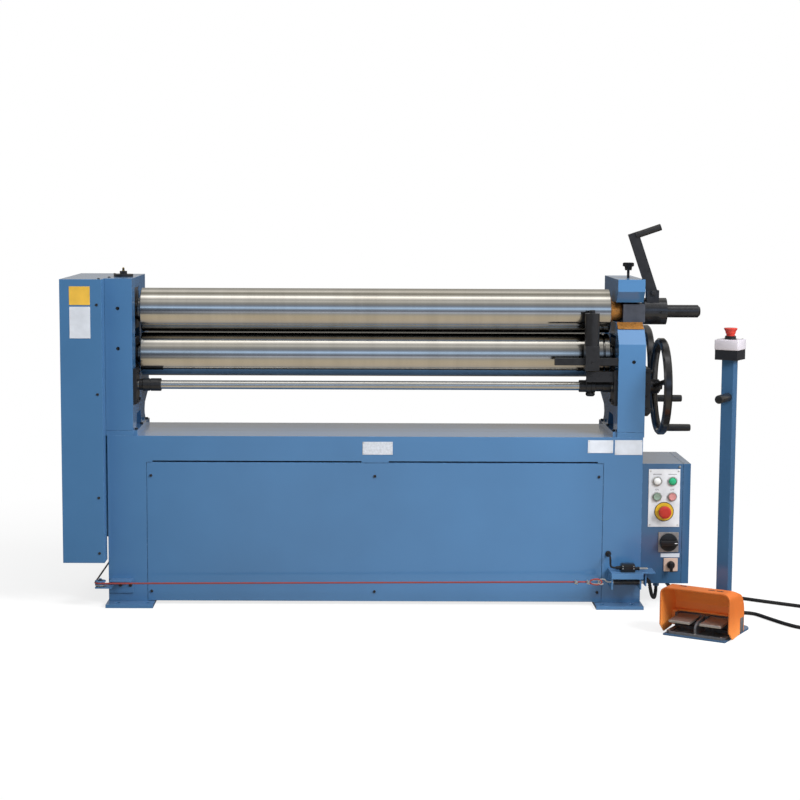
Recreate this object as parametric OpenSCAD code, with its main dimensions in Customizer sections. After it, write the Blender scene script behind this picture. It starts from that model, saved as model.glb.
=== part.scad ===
// Motorised plate rolling machine: three rolls between two cast stands on a
// sheet-metal base, with a drive cover, two handwheels, a rope stop, a control
// box and a foot-control station. Millimetres, +X right, +Y back, +Z up.
// The origin is the centre of the anchor-bolt pattern, on the floor.

/* [Rolls] */
// Diameter of each of the three rolls
roll_d = 130; // [110:1:156]
// Working length of the rolls
roll_length = 1400; // [1100:10:2000]
// Height of the upper roll's axis above the floor
upper_roll_z = 872; // [840:1:960]
// Gap between the two pinch rolls
nip_gap = 3; // [1:0.5:6]
// Distance of the pinch rolls' axes in front of the centre line
roll_forward = 34.6; // [20:0.1:50]
// How far the bending roll stands behind the pinch rolls
rear_setback = 163; // [155:1:180]
// How far the bending roll rests below the lower roll
rear_drop = 7; // [5:1:20]
// Journal diameter at the driven ends
journal_d = 60; // [40:1:70]
// Journal diameter in the open end bearing
open_journal_d = 50; // [40:1:54]
// Space between a roll's face and the stand
end_gap = 15; // [13:1:30]
// Width of each wire groove at the right end of the two lower rolls
wire_groove = 6; // [4:1:10]

/* [Stands] */
// Thickness of each stand
stand_t = 80; // [60:1:110]
// Rise of the stand's top above the upper roll's axis
stand_rise = 98; // [90:1:130]
// Width of the slot for the bearing blocks
slot_w = 112; // [90:1:124]
// Height of a lower bearing block
block_h = 100; // [80:1:104]
// Width of a rear bearing block
rear_block_w = 82; // [74:1:90]
// Length of a rear bearing block along its slot
rear_block_h = 86; // [74:1:96]
// Lean of the bending roll's path from the vertical
rear_lean = 20; // [10:1:25]
// Travel of the lower roll below its rest height
lower_travel = 10; // [5:1:15]
// Travel of the bending roll up its slot
rear_travel = 95; // [60:1:100]
// Travel of the bending roll below its rest place
rear_down = 8; // [0:1:10]

/* [Base] */
// Height of the base's top above the floor
base_top = 506; // [400:1:540]
// How far the base stops short of the stands' outer faces
base_inset = 3; // [0:1:20]
// Depth of the base from front to back
base_depth = 324; // [300:1:360]
// Thickness of the foot plates
foot_t = 10; // [8:1:20]
// Width of each foot plate
foot_w = 140; // [110:1:180]
// Length of each foot plate from front to back
foot_l = 440; // [400:1:520]
// Diameter of the anchor-bolt holes
anchor_d = 14; // [10:1:18]
// Height of the access panel's top edge
panel_top = 428; // [300:1:440]
// Height of the gap over the access panel
panel_gap = 4.5; // [2:0.5:8]

/* [Drive cover] */
// Width of the drive cover
cover_w = 122; // [100:1:180]
// How far the cover stands in front of the stand
cover_front = 62; // [40:1:90]
// How far the cover reaches behind the base
cover_back = 36; // [20:1:80]
// Height of the cover's lower edge
cover_bottom = 136; // [110:1:300]
// Sheet thickness of the cover
cover_t = 3; // [2:0.5:5]

/* [Shafts and handwheels] */
// Diameter of the two adjusting shafts
shaft_d = 26; // [20:1:32]
// How far the front adjusting shaft lies below the lower roll
front_shaft_drop = 87; // [84:1:96]
// How far the front adjusting shaft lies in front of the rolls
front_shaft_forward = 65.4; // [60:0.1:72]
// How far the rear adjusting shaft lies behind the bending roll
rear_shaft_back = 77; // [74:1:84]
// How far the rear adjusting shaft lies below the bending roll
rear_shaft_drop = 62; // [52:1:64]
// Outer diameter of a handwheel
wheel_d = 288; // [220:1:300]
// Width of the handwheel rim along the shaft
rim_w = 24; // [14:1:28]
// Radial thickness of the handwheel rim
rim_t = 19; // [14:1:26]
// Distance of the rim from the stand
rim_off = 43.5; // [40:0.5:70]
// Diameter of a handwheel grip
grip_d = 22; // [18:1:28]
// Length of a handwheel grip
grip_l = 76; // [50:1:100]

/* [Upper roll release] */
// Diameter of the end sleeve
sleeve_d = 80; // [60:1:90]
// Length of the end sleeve
sleeve_l = 68; // [60:1:100]
// Diameter of the stub shaft
stub_d = 38; // [25:1:50]
// Length of the stub shaft
stub_l = 103; // [60:1:140]
// Length of the release lever from its pivot to its grip
lever_l = 178; // [140:1:220]
// Width of the release lever
lever_w = 31; // [24:1:36]
// Lean of the release lever towards the rolls
lever_lean = 19; // [15:1:24]

/* [Cone stop] */
// Diameter of the stop post
post_d = 43; // [30:1:50]
// Height of the stop post above its block
post_h = 96; // [60:1:120]
// Free length of the stop's rail
rail_l = 187; // [150:1:260]
// Distance of the stop's axis from the stand
stop_off = 78; // [40:1:120]

/* [Control box] */
// Width of the control box
box_w = 140; // [124:1:200]
// Depth of the control box
box_d = 254; // [180:1:300]
// Height of the control box
box_h = 360; // [352:1:460]
// Height of the control box's lower edge
box_z = 68; // [60:1:140]
// Diameter of a button's bezel
bezel_d = 29; // [24:1:34]
// Diameter of the emergency-stop heads
mushroom_d = 38; // [30:1:44]

/* [Foot station] */
// Width of the station's floor plate
plate_w = 180; // [170:1:240]
// Depth of the station's floor plate
plate_l = 215; // [205:1:300]
// Turn of the station about the vertical
station_turn = -31.5; // [-45:0.5:0]
// Width of one pedal
pedal_w = 62; // [50:1:70]
// Length of one pedal
pedal_l = 82; // [60:1:84]
// Height of the pedal guard
guard_h = 136; // [110:1:180]
// Side of the station's square post
tube_w = 34; // [25:1:50]
// Height of the station's post
tube_h = 756; // [500:1:1000]
// Side of the square stop box
stop_box_w = 65; // [52:1:80]

/* [Rope stop] */
// Height of the safety rope's axis at the bracket
rope_z = 86; // [70:1:100]
// How much lower the rope runs at the pulleys
rope_drop = 10; // [0:1:14]
// Diameter of the safety rope
rope_d = 5; // [3:0.5:8]
// Distance of the rope from the base's front and back
rope_off = 68; // [40:1:90]

/* [Fits] */
// Gap on each side of a sliding block
slide_gap = 0.3; // [0.1:0.05:0.5]
// Radial clearance of a journal or shaft
run_gap = 0.05; // [0.02:0.01:0.1]
// Gap round a flush panel
seam = 1.5; // [0.5:0.5:3]

/* [Hidden] */
$fn = 64;
eps = 0.01;

blue = [0.20, 0.40, 0.62];
black = [0.10, 0.10, 0.11];
steel = [0.72, 0.71, 0.69];
zinc = [0.62, 0.62, 0.60];
orange = [0.95, 0.42, 0.08];
red = [0.82, 0.12, 0.10];

// Main planes along X
inner_x = roll_length / 2 + end_gap;
outer_x = inner_x + stand_t;
base_end = outer_x - base_inset;
// Main planes along Y
front_y = -base_depth / 2;
back_y = base_depth / 2;
roll_y = -roll_forward;
slot_front = roll_y - slot_w / 2;
slot_back = roll_y + slot_w / 2;
stand_back = back_y + 8;
boss_back = back_y + 88;
cap_front = front_y + 37;
// Main heights
stand_top = upper_roll_z + stand_rise;
lower_roll_z = upper_roll_z - roll_d - nip_gap;
slot_top = upper_roll_z + 68;
slot_bottom = lower_roll_z - block_h / 2 - lower_travel - 9;
mouth_low = upper_roll_z - 31;
mouth_high = upper_roll_z + 29;
mouth_block_top = mouth_high - 6;
flange_t = 15;
flange_top = base_top + flange_t;
// Bending roll and the two adjusting shafts
rear_y = roll_y + rear_setback;
rear_z = lower_roll_z - rear_drop;
front_shaft_y = roll_y - front_shaft_forward;
front_shaft_z = lower_roll_z - front_shaft_drop;
rear_shaft_y = rear_y + rear_shaft_back;
rear_shaft_z = rear_z - rear_shaft_drop;
// Bearing blocks lie this far inside the stand's faces
block_inset = 2;
// Handwheels
hub_d = 42;
hub_l = 26;
clutch_r = 30;
wheel_gap = 6;
rim_x = outer_x + rim_off;
spoke_d = 15;
front_grip_a = -73;
rear_grip_a = 214;
plate_t = 10;
housing_t = 17;
// Cone stop
rail_h = 21;
rail_t = 20;
rail_y = front_y + 12;
rail_z = lower_roll_z - 9.5;
stop_x = inner_x - stop_off;
stop_block_w = post_d - 2;
stop_block_l = 46;
stop_block_low = rail_z - rail_h / 2 - 15;
stop_block_top = rail_z + rail_h / 2 + 36;
// End sleeve and release lever
sleeve_x = outer_x + 8;
pivot_x = sleeve_x + 25;
pivot_z = upper_roll_z + sleeve_d / 2 + 16;
lever_y = roll_y - 14;
lever_t = 12;
lug_gap = 1;
cheek_t = 9;
pin_d = 9;
trunnion_d = 24;
knob_x = outer_x - 33;
knob_y = roll_y + 34;
// Control box
door_t = 1.5;
press_room = 7;
panel_x = outer_x + 16;
panel_w = 93;
panel_z = box_z + 171;
panel_h = 173;
lamp_x = outer_x + 41;
button_x = outer_x + 86;
row_high = box_z + 308;
row_low = box_z + 262;
stop_x_box = outer_x + 63;
stop_z_box = box_z + 217;
isolator_x = outer_x + 78;
isolator_z = box_z + 125;
selector_x = outer_x + 86;
selector_z = box_z + 57;
label_z = box_z + 85;
// Rope stop
rope_front = front_y - rope_off;
rope_back = back_y + rope_off;
pulley_r = 13;
rope_left = -outer_x - 30;
pulley_z = rope_z - rope_drop;
bracket_x = inner_x - 20;
rod_end = bracket_x + 84;
eye_l = 42;
rope_end = bracket_x - 66;
rope_anchor = outer_x - 22;
// Hose from the bracket's lug, down and up again to the control box
hose_y = front_y - 40;
hose_route = [
    [outer_x + 47, front_y + 18, box_z - 10.9], [outer_x + 47, front_y + 18, box_z - 18],
    [outer_x + 44, front_y + 8, box_z - 32], [outer_x + 38, front_y - 10, box_z - 40],
    [outer_x + 29, front_y - 26, box_z - 32], [outer_x + 22, front_y - 36, box_z - 10],
    [outer_x + 17, hose_y, rope_z - 4], [outer_x + 13, hose_y, rope_z]
];
// Foot station
station_at = [outer_x + 5.8, -525, 0];
plate_h = 5;
tray_h = 7;
pedal_gap = 28;
guard_t = 3.5;
guard_over = 11.5;
guard_back = 117;
tube_at = [plate_w / 2 + 13, plate_l - 21];
plate_r = 30;
tray_back = guard_back + 26;
guard_r = 20;
stop_box_h = 55;
pedal_edges = [plate_w / 2 - pedal_gap / 2 - pedal_w, plate_w / 2 + pedal_gap / 2];
pedal_front = 4;
pedal_low = 38;
pedal_tilt = 2;
pedal_t = 6;
hinge_d = 10;
hinge_pin_d = 5;
hinge_y = pedal_front + pedal_l;
hinge_z = pedal_low + pedal_l * sin(pedal_tilt) + pedal_t / 2;
// Pedal cable: gland on the control box, floor run, turn, and the tray's gland
cable_d = 11;
cable_gland = [outer_x + 105, 60];
cable_route = [
    [900, 60, 60], [900, 60, 52], [900.7, 59.5, 43], [902.9, 58, 34.4], [906.4, 55.6, 26.4],
    [911.1, 52.3, 19.5], [916.8, 48.3, 13.8], [923.3, 43.8, 9.5], [930.4, 38.8, 6.9], [937.7, 33.7, 6],
    [949.2, 25.7, 6], [966, 14, 6], [1010, -15, 6], [1060, -48, 6], [1111, -83, 6], [1160, -118, 6],
    [1210, -152, 6], [1264, -188, 6], [1318, -226, 6], [1358, -274, 6], [1374, -330, 6], [1364, -388, 6],
    [1330, -434, 6], [1286, -464, 6], [1240, -472, 6], [1199, -456, 6], [1168, -414, 6], [1140, -358, 6],
    [1127, -329.7, 6], [1115.1, -303.8, 6], [1106.1, -290.6, 6], [1093, -281.3, 6], [1077.6, -277.1, 6],
    [1061.7, -278.4, 6], [1047.2, -285, 6], [1035.8, -296.3, 6], [1029, -310.7, 6], [1027.4, -326.6, 6],
    [1029.2, -346.6, 6], [1031, -366, 7.5], [1031.8, -388, 11], [1029, -410, 14], [1021.5, -432, 14],
    [1010.5, -452, 14], [999, -470, 14]
];

// A box between two opposite corners
module span(low, high) {
    translate(low) cube(high - low);
}

// A round bar along X between two planes, on the axis at (y, z)
module bar_x(x0, x1, y, z, d) {
    translate([x0, y, z]) rotate([0, 90, 0]) cylinder(d = d, h = x1 - x0);
}

// A round bar along Y between two planes, on the axis at (x, z)
module bar_y(y0, y1, x, z, d) {
    translate([x, y1, z]) rotate([90, 0, 0]) cylinder(d = d, h = y1 - y0);
}

// A straight round strut between two points
module strut(from, to, d) {
    v = to - from;
    turn = [0, acos(v[2] / norm(v)), atan2(v[1], v[0])];
    translate(from) rotate(turn) cylinder(d = d, h = norm(v));
}

// An outline in the Y-Z plane, extruded along X between two planes
module side_slab(x0, x1, outline) {
    translate([x0, 0, 0]) rotate([90, 0, 90]) linear_extrude(height = x1 - x0) polygon(outline);
}

// The same piece at both ends of the machine
module both_ends() {
    children();
    mirror([1, 0, 0]) children();
}

// A sweep along a route of points: smooth in between, with flat ends
function catmull(a, b, c, d, t) =
    0.5 * (2 * b + (c - a) * t + (2 * a - 5 * b + 4 * c - d) * t * t
    + (3 * b - a - 3 * c + d) * t * t * t);
function at_route(route, i) = route[max(0, min(len(route) - 1, i))];
function smooth_route(route, steps) = [
    for (i = [0:len(route) - 2])
        for (s = [0:steps - 1])
            catmull(at_route(route, i - 1), route[i], route[i + 1], at_route(route, i + 2), s / steps),
    route[len(route) - 1]
];
function unit(v) = v / norm(v);
function heading(line, i) = unit(line[min(i + 1, len(line) - 1)] - line[max(i - 1, 0)]);
function first_side(v) = unit(cross(v, abs(v[2]) > 0.9 ? [1, 0, 0] : [0, 0, 1]));
function carried_sides(line, i, last) =
    i == len(line) ? []
    : let (v = heading(line, i), a = unit(last - (last * v) * v)) concat([a], carried_sides(line, i + 1, a));
function ring_at(line, i, a, r, sides) =
    let (b = cross(heading(line, i), a))
    [for (k = [0:sides - 1]) line[i] + r * (cos(360 * k / sides) * a + sin(360 * k / sides) * b)];

module tube(route, d, steps, sides) {
    line = smooth_route(route, steps);
    rings = len(line);
    across = carried_sides(line, 0, first_side(heading(line, 0)));
    points = [for (i = [0:rings - 1]) for (p = ring_at(line, i, across[i], d / 2, sides)) p];
    walls = [
        for (i = [0:rings - 2])
            for (k = [0:sides - 1])
                let (n = (k + 1) % sides)
                for (f = [
                    [i * sides + k, (i + 1) * sides + n, i * sides + n],
                    [i * sides + k, (i + 1) * sides + k, (i + 1) * sides + n]
                ]) f
    ];
    first = [for (k = [0:sides - 1]) k];
    last = [for (k = [sides - 1:-1:0]) (rings - 1) * sides + k];
    polyhedron(points = points, faces = concat(walls, [first], [last]), convexity = 6);
}

// Base
module base_cabinet() {
    panel_l = 2 * (inner_x - 38);
    color(blue) difference() {
        span([-base_end, front_y, foot_t], [base_end, back_y, base_top]);
        span([-panel_l / 2, front_y - eps, foot_t - eps], [panel_l / 2, front_y + 3, panel_top]);
        for (x = [-panel_l / 2 + 18, 40])
            span([x, front_y - eps, panel_top - eps],
                 [x + panel_l / 2 - 58, front_y + 24, panel_top + panel_gap]);
    }
}

module access_panel() {
    panel_l = 2 * (inner_x - 38) - 2 * seam;
    screw_x = [-panel_l / 2 + 12, 0, panel_l / 2 - 12];
    color(blue) {
        span([-panel_l / 2, front_y, foot_t + 1], [panel_l / 2, front_y + 3, panel_top - seam]);
        for (x = screw_x)
            for (z = [40, panel_top - 40])
                bar_y(front_y - 2, front_y + eps, x, z, 9);
    }
}

module foot_plates() {
    color(blue) both_ends() difference() {
        span([outer_x - foot_w, -foot_l / 2, 0], [outer_x, foot_l / 2, foot_t]);
        for (x = [outer_x - foot_w + 20, outer_x - 33])
            for (y = [-1, 1])
                translate([x, y * (foot_l / 2 - 29), -1]) cylinder(d = anchor_d, h = foot_t + 2);
    }
}

// Stands: the rear edge has a boss for the bending roll and a waist under it
boss_low = rear_shaft_z - 60;
function waist_z(share) = flange_top + 18 + share * (boss_low - flange_top - 18);
function stand_rear() = [
    [stand_back, stand_top], [stand_back, rear_z + 132], [boss_back, rear_z + 62],
    [boss_back, boss_low], [back_y - 22, waist_z(0.48)], [back_y - 34, waist_z(0.18)],
    [back_y - 30, waist_z(0)], [back_y - 12, flange_top], [back_y, flange_top], [back_y, base_top]
];
function left_outline() = concat([[front_y, base_top], [front_y, stand_top]], stand_rear());
function right_outline() = concat([
    [front_y, base_top], [front_y, mouth_low - 60], [cap_front, mouth_low - 20],
    [slot_front, mouth_low], [slot_back, mouth_low], [slot_back, mouth_high],
    [slot_front, mouth_high], [cap_front, mouth_high + 33], [cap_front, stand_top]
], stand_rear());
pocket = [
    [roll_y - 34, flange_top + 41], [roll_y + 53, flange_top + 42],
    [roll_y + 76, flange_top], [roll_y - 47, flange_top]
];

// The inclined slot of the bending roll's block
module rear_slot(x0, x1) {
    low = -(rear_block_h / 2 + rear_down + 5);
    high = rear_block_h / 2 + rear_travel + 5;
    half = rear_block_w / 2 + slide_gap;
    translate([0, rear_y, rear_z]) rotate([rear_lean, 0, 0]) span([x0, -half, low], [x1, half, high]);
}

// Slots, bores, joint line and pocket that both stands share, seen on the +X side
module stand_cuts(slot_high) {
    x0 = inner_x - 1;
    x1 = outer_x + 1;
    span([x0, slot_front - slide_gap, slot_bottom], [x1, slot_back + slide_gap, slot_high]);
    rear_slot(x0, x1);
    bar_x(x0, x1, front_shaft_y, front_shaft_z, shaft_d + 2 * run_gap);
    bar_x(x0, x1, rear_shaft_y, rear_shaft_z, shaft_d + 2 * run_gap);
    side_slab(inner_x - 1, inner_x + 30, pocket);
    span([x0, front_y - 1, flange_top - 0.6], [x1, front_y + 1, flange_top + 0.6]);
}

// The stand's foot flange, with its lip towards the middle
module stand_flange() {
    span([inner_x - 12, front_y + 6, base_top], [inner_x + eps, back_y - 6, flange_top]);
}

module left_stand() {
    color(blue) mirror([1, 0, 0]) {
        difference() {
            side_slab(inner_x, outer_x, left_outline());
            stand_cuts(slot_top);
            for (z = [upper_roll_z + 10, lower_roll_z + 25])
                bar_y(front_y - 1, front_y + 12, inner_x + 42, z, 11);
            translate([inner_x + 40, roll_y, slot_top - 1])
                cylinder(d = trunnion_d + 2 * run_gap, h = stand_top - slot_top + 2);
        }
        stand_flange();
    }
}

module right_stand() {
    color(blue) {
        difference() {
            side_slab(inner_x, outer_x, right_outline());
            stand_cuts(mouth_low - 40);
            bar_y(front_y - 1, front_y + 12, inner_x + 45, lower_roll_z - 10, 11);
            translate([knob_x, knob_y, mouth_high - 1]) cylinder(d = 8 + 2 * run_gap, h = stand_top);
        }
        stand_flange();
    }
}

module drive_cover() {
    left = -outer_x - cover_w;
    front = front_y - cover_front;
    back = back_y + cover_back;
    color(blue) {
        difference() {
            span([left, front, cover_bottom], [-outer_x, back, stand_top]);
            span([left + cover_t, front + cover_t, cover_bottom - 1],
                 [-outer_x + 1, back - cover_t, stand_top - cover_t]);
        }
        span([-outer_x - cover_t, front + eps, cover_bottom], [-outer_x, front_y - 1, stand_top - eps]);
    }
}

module swivel_cap() {
    translate([-inner_x - 40, roll_y, stand_top]) {
        color(black) {
            cylinder(d = 58, h = 8);
            translate([0, 0, 8]) cylinder(d = 22, h = 9, $fn = 6);
            translate([0, 0, -28]) cylinder(d = trunnion_d, h = 28 + eps);
        }
        color("goldenrod") {
            translate([0, 0, 17]) cylinder(d = 7, h = 7);
            translate([0, 0, 25]) sphere(d = 6);
        }
    }
}

// Rolls: the body along X with its journals
module roll(y, z, right_d, right_end, grooved) {
    half = roll_length / 2;
    color(steel) {
        difference() {
            bar_x(-half, half, y, z, roll_d);
            if (grooved)
                for (x = [half - 36, half - 18])
                    translate([x, y, z]) rotate([0, 90, 0]) rotate_extrude()
                        translate([roll_d / 2, 0]) circle(d = wire_groove);
        }
        bar_x(-outer_x - 50, -half + 1, y, z, journal_d);
        bar_x(half - 1, right_end, y, z, right_d);
    }
}

module upper_roll() {
    roll(roll_y, upper_roll_z, open_journal_d, outer_x, false);
}

module lower_roll() {
    roll(roll_y, lower_roll_z, journal_d, outer_x - 1, true);
}

module rear_roll() {
    roll(rear_y, rear_z, journal_d, outer_x - 1, true);
}

// The fixed bearings of the upper roll: a block in the left slot and one in the open mouth
module upper_bearings() {
    color(black) {
        difference() {
            span([-outer_x + block_inset, slot_front, upper_roll_z - slot_w / 2],
                 [-inner_x - block_inset, slot_back, slot_top]);
            bar_x(-outer_x, -inner_x, roll_y, upper_roll_z, journal_d + 2 * run_gap);
        }
        difference() {
            span([inner_x + 23, slot_front + 12, mouth_low], [sleeve_x, slot_back, mouth_block_top]);
            bar_x(inner_x, sleeve_x + 1, roll_y, upper_roll_z, open_journal_d + 2 * run_gap);
        }
    }
}

module end_sleeve() {
    end = sleeve_x + sleeve_l;
    color(black) {
        bar_x(sleeve_x, end, roll_y, upper_roll_z, sleeve_d);
        bar_x(end - 1, end + stub_l - 7, roll_y, upper_roll_z, stub_d);
        translate([end + stub_l - 7, roll_y, upper_roll_z]) rotate([0, 90, 0])
            cylinder(d1 = stub_d, d2 = stub_d - 14, h = 7);
        lug();
    }
}

// The clevis that carries the release lever, standing on the sleeve
module lug() {
    half_w = lever_w / 2 + 2.5;
    half_t = lever_t / 2 + lug_gap;
    difference() {
        span([pivot_x - half_w, lever_y - half_t - cheek_t, upper_roll_z + 18],
             [pivot_x + half_w, lever_y + half_t + cheek_t, pivot_z + 8]);
        bar_x(sleeve_x, pivot_x + half_w + 1, roll_y, upper_roll_z, sleeve_d - 1);
        span([pivot_x - half_w - 1, lever_y - half_t, pivot_z - lever_w / 2 - lug_gap],
             [pivot_x + half_w + 1, lever_y + half_t, pivot_z + 9]);
        bar_y(lever_y - 40, lever_y + 40, pivot_x, pivot_z, pin_d + 2 * run_gap);
    }
}

module lower_bearings() {
    color(black) both_ends() difference() {
        span([inner_x + block_inset, slot_front, lower_roll_z - block_h / 2],
             [outer_x - block_inset, slot_back, lower_roll_z + block_h / 2]);
        bar_x(inner_x, outer_x, roll_y, lower_roll_z, journal_d + 2 * run_gap);
    }
}

module rear_bearings() {
    color(black) both_ends() difference() {
        translate([0, rear_y, rear_z]) rotate([rear_lean, 0, 0])
            span([inner_x + block_inset, -rear_block_w / 2, -rear_block_h / 2],
                 [outer_x - block_inset, rear_block_w / 2, rear_block_h / 2]);
        bar_x(inner_x, outer_x, rear_y, rear_z, journal_d + 2 * run_gap);
    }
}

// Fixed housings of the two adjusting gears, on the stands' faces
module adjusters() {
    shaft_bore = shaft_d + 2 * run_gap;
    y = front_shaft_y;
    z = front_shaft_z;
    arm_low = z + clutch_r + 7;
    color(black) {
        both_ends() difference() {
            span([inner_x - plate_t, y - 50, z - 54], [inner_x, y + 26, z + 52]);
            bar_x(inner_x - plate_t - 1, inner_x + 1, y, z, shaft_bore);
        }
        difference() {
            span([outer_x, y - 50, z - 76], [outer_x + housing_t, y + 55, z + 57]);
            bar_x(outer_x - 1, outer_x + housing_t + 1, y, z, shaft_bore);
        }
        difference() {
            span([outer_x, rear_shaft_y - 45, rear_shaft_z - 56],
                 [outer_x + housing_t, boss_back, rear_shaft_z + 56]);
            bar_x(outer_x - 1, outer_x + housing_t + 1, rear_shaft_y, rear_shaft_z, shaft_bore);
        }
        span([inner_x - 92, y - 42, arm_low], [inner_x - plate_t + eps, y - 10, arm_low + 10]);
        span([inner_x - 92, y - 42, z + 16],
             [inner_x - plate_t + eps, y - clutch_r - 7, arm_low + eps]);
    }
}

// Front adjusting shaft with its couplings and the clutch knob
module cross_shaft() {
    y = front_shaft_y;
    z = front_shaft_z;
    right_end = outer_x + housing_t + wheel_gap + hub_l;
    color(steel) bar_x(-outer_x + 6, right_end, y, z, shaft_d);
    color(black) {
        bar_x(-inner_x + plate_t + 2, -inner_x + plate_t + 13, y, z, shaft_d + 7);
        bar_x(-inner_x + plate_t + 13, -inner_x + plate_t + 68, y, z, shaft_d + 12);
        bar_x(inner_x - 108, inner_x - 88, y, z, shaft_d + 10);
        bar_x(inner_x - 88, inner_x - 60, y, z, shaft_d + 14);
        bar_x(inner_x - 60, inner_x - 38, y, z, shaft_d + 6);
        bar_x(inner_x - 38, inner_x - plate_t - 3, y, z, shaft_d + 10);
        translate([inner_x - 74, y, z - clutch_r]) {
            cylinder(d1 = 22, d2 = 28, h = 4);
            translate([0, 0, 4 - eps]) cylinder(d = 28, h = 5);
            translate([0, 0, 9 - 2 * eps]) cylinder(d = 18, h = clutch_r - 9);
        }
    }
}

module rear_shaft() {
    right_end = outer_x + housing_t + wheel_gap + hub_l;
    color(steel) bar_x(-outer_x + 6, right_end, rear_shaft_y, rear_shaft_z, shaft_d);
}

// A dished handwheel with three spokes; the grip's bolt is at the angle given
module handwheel(y, z, grip_a) {
    mid_r = wheel_d / 2 - rim_t / 2;
    hub_x = outer_x + housing_t + wheel_gap;
    bevel = 5;
    color(black) translate([0, y, z]) {
        difference() {
            bar_x(hub_x, hub_x + hub_l, 0, 0, hub_d);
            bar_x(hub_x - 1, hub_x + hub_l + 1, 0, 0, shaft_d);
        }
        translate([rim_x, 0, 0]) rotate([0, 90, 0]) rotate_extrude($fn = 96) polygon([
            [mid_r - rim_t / 2, bevel], [mid_r - rim_t / 2 + bevel, 0], [mid_r + rim_t / 2 - bevel, 0],
            [mid_r + rim_t / 2, bevel], [mid_r + rim_t / 2, rim_w - bevel],
            [mid_r + rim_t / 2 - bevel, rim_w],
            [mid_r - rim_t / 2 + bevel, rim_w], [mid_r - rim_t / 2, rim_w - bevel]
        ]);
        for (a = [grip_a, grip_a + 120, grip_a + 240])
            strut([hub_x + hub_l / 2, 17 * cos(a), 17 * sin(a)],
                  [rim_x + rim_w / 2, mid_r * cos(a), mid_r * sin(a)], spoke_d);
    }
}

module front_handwheel() {
    handwheel(front_shaft_y, front_shaft_z, front_grip_a);
}

module rear_handwheel() {
    handwheel(rear_shaft_y, rear_shaft_z, rear_grip_a);
}

// A round grip on its bolt, standing out of the rim at the angle given
module wheel_grip(y, z, a) {
    mid_r = wheel_d / 2 - rim_t / 2;
    x = rim_x + rim_w + 0.3;
    color(black) {
        bar_x(x, x + 10, y + mid_r * cos(a), z + mid_r * sin(a), grip_d - 8);
        bar_x(x + 10, x + 10 + grip_l, y + mid_r * cos(a), z + mid_r * sin(a), grip_d);
    }
}

module front_grip() {
    wheel_grip(front_shaft_y, front_shaft_z, front_grip_a);
}

module rear_grip() {
    wheel_grip(rear_shaft_y, rear_shaft_z, rear_grip_a);
}

// Lever of the upper roll's open bearing, with its pin and cranked grip
module release_lever() {
    pin_half = lever_t / 2 + lug_gap + cheek_t + 2;
    grip_r = 10;
    color(black) translate([pivot_x, lever_y, pivot_z]) rotate([0, -lever_lean, 0]) {
        bar_y(-lever_t / 2, lever_t / 2, 0, 0, lever_w);
        span([-lever_w / 2, -lever_t / 2, 0], [lever_w / 2, lever_t / 2, lever_l + grip_r]);
        bar_x(lever_w / 2 - grip_r, 84, 0, lever_l, 2 * grip_r);
        bar_y(-pin_half, pin_half, 0, 0, pin_d);
    }
}

module star_knob() {
    color(black) translate([knob_x, knob_y, 0]) {
        translate([0, 0, mouth_block_top + slide_gap]) cylinder(d = 8, h = stand_top + 26 - mouth_block_top);
        translate([0, 0, stand_top + 23]) {
            cylinder(d1 = 20, d2 = 23, h = 12);
            translate([0, 0, 11]) cylinder(d = 28, h = 12);
            for (a = [0:60:300])
                rotate([0, 0, a]) translate([13.5, 0, 12]) cylinder(d = 7, h = 10);
        }
    }
}

module stop_rail() {
    color(black)
        span([inner_x - rail_l, rail_y - rail_t / 2, rail_z - rail_h / 2],
             [inner_x, rail_y + rail_t / 2, rail_z + rail_h / 2]);
}

module cone_stop() {
    half_w = stop_block_w / 2;
    half_l = stop_block_l / 2;
    color(black) {
        difference() {
            span([stop_x - half_w, rail_y - half_l, stop_block_low],
                 [stop_x + half_w, rail_y + half_l, stop_block_top]);
            span([stop_x - half_w - 1, rail_y - rail_t / 2 - slide_gap, rail_z - rail_h / 2 - slide_gap],
                 [stop_x + half_w + 1, rail_y + rail_t / 2 + slide_gap, rail_z + rail_h / 2 + slide_gap]);
            bar_y(rail_y - half_l - 1, rail_y - half_l + 5, stop_x, rail_z, 7);
        }
        translate([stop_x, rail_y, stop_block_top - eps]) cylinder(d = post_d, h = post_h);
        translate([stop_x, rail_y, stop_block_top + post_h - 1]) cylinder(d = 16, h = 10);
    }
}

// Control box on the right end of the base
module control_box() {
    right = outer_x + box_w;
    back = front_y + box_d;
    top = box_z + box_h;
    seam_x = right - 23;
    color(blue) {
        difference() {
            span([base_end, front_y, box_z], [right, back, top]);
            span([seam_x, front_y - 1, box_z - 1], [seam_x + 1.2, front_y + door_t, top + 1]);
            span([seam_x, front_y - 1, top - door_t], [seam_x + 1.2, back + 1, top + 1]);
            for (x = [lamp_x, button_x])
                bar_y(front_y - 1, front_y + press_room, x, row_low, bezel_d - 7 + 2 * slide_gap);
            bar_y(front_y - 1, front_y + press_room, stop_x_box, stop_z_box, mushroom_d - 14 + 2 * slide_gap);
        }
        bar_y(front_y - 1.5, front_y + eps, right - 33, top - 9, 7);
    }
    color(black) {
        translate([cable_gland[0], cable_gland[1], box_z - 8]) cylinder(d = 20, h = 8 + eps);
        translate([hose_route[0][0], hose_route[0][1], box_z - 10]) cylinder(d = 18, h = 10 + eps);
    }
}

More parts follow.
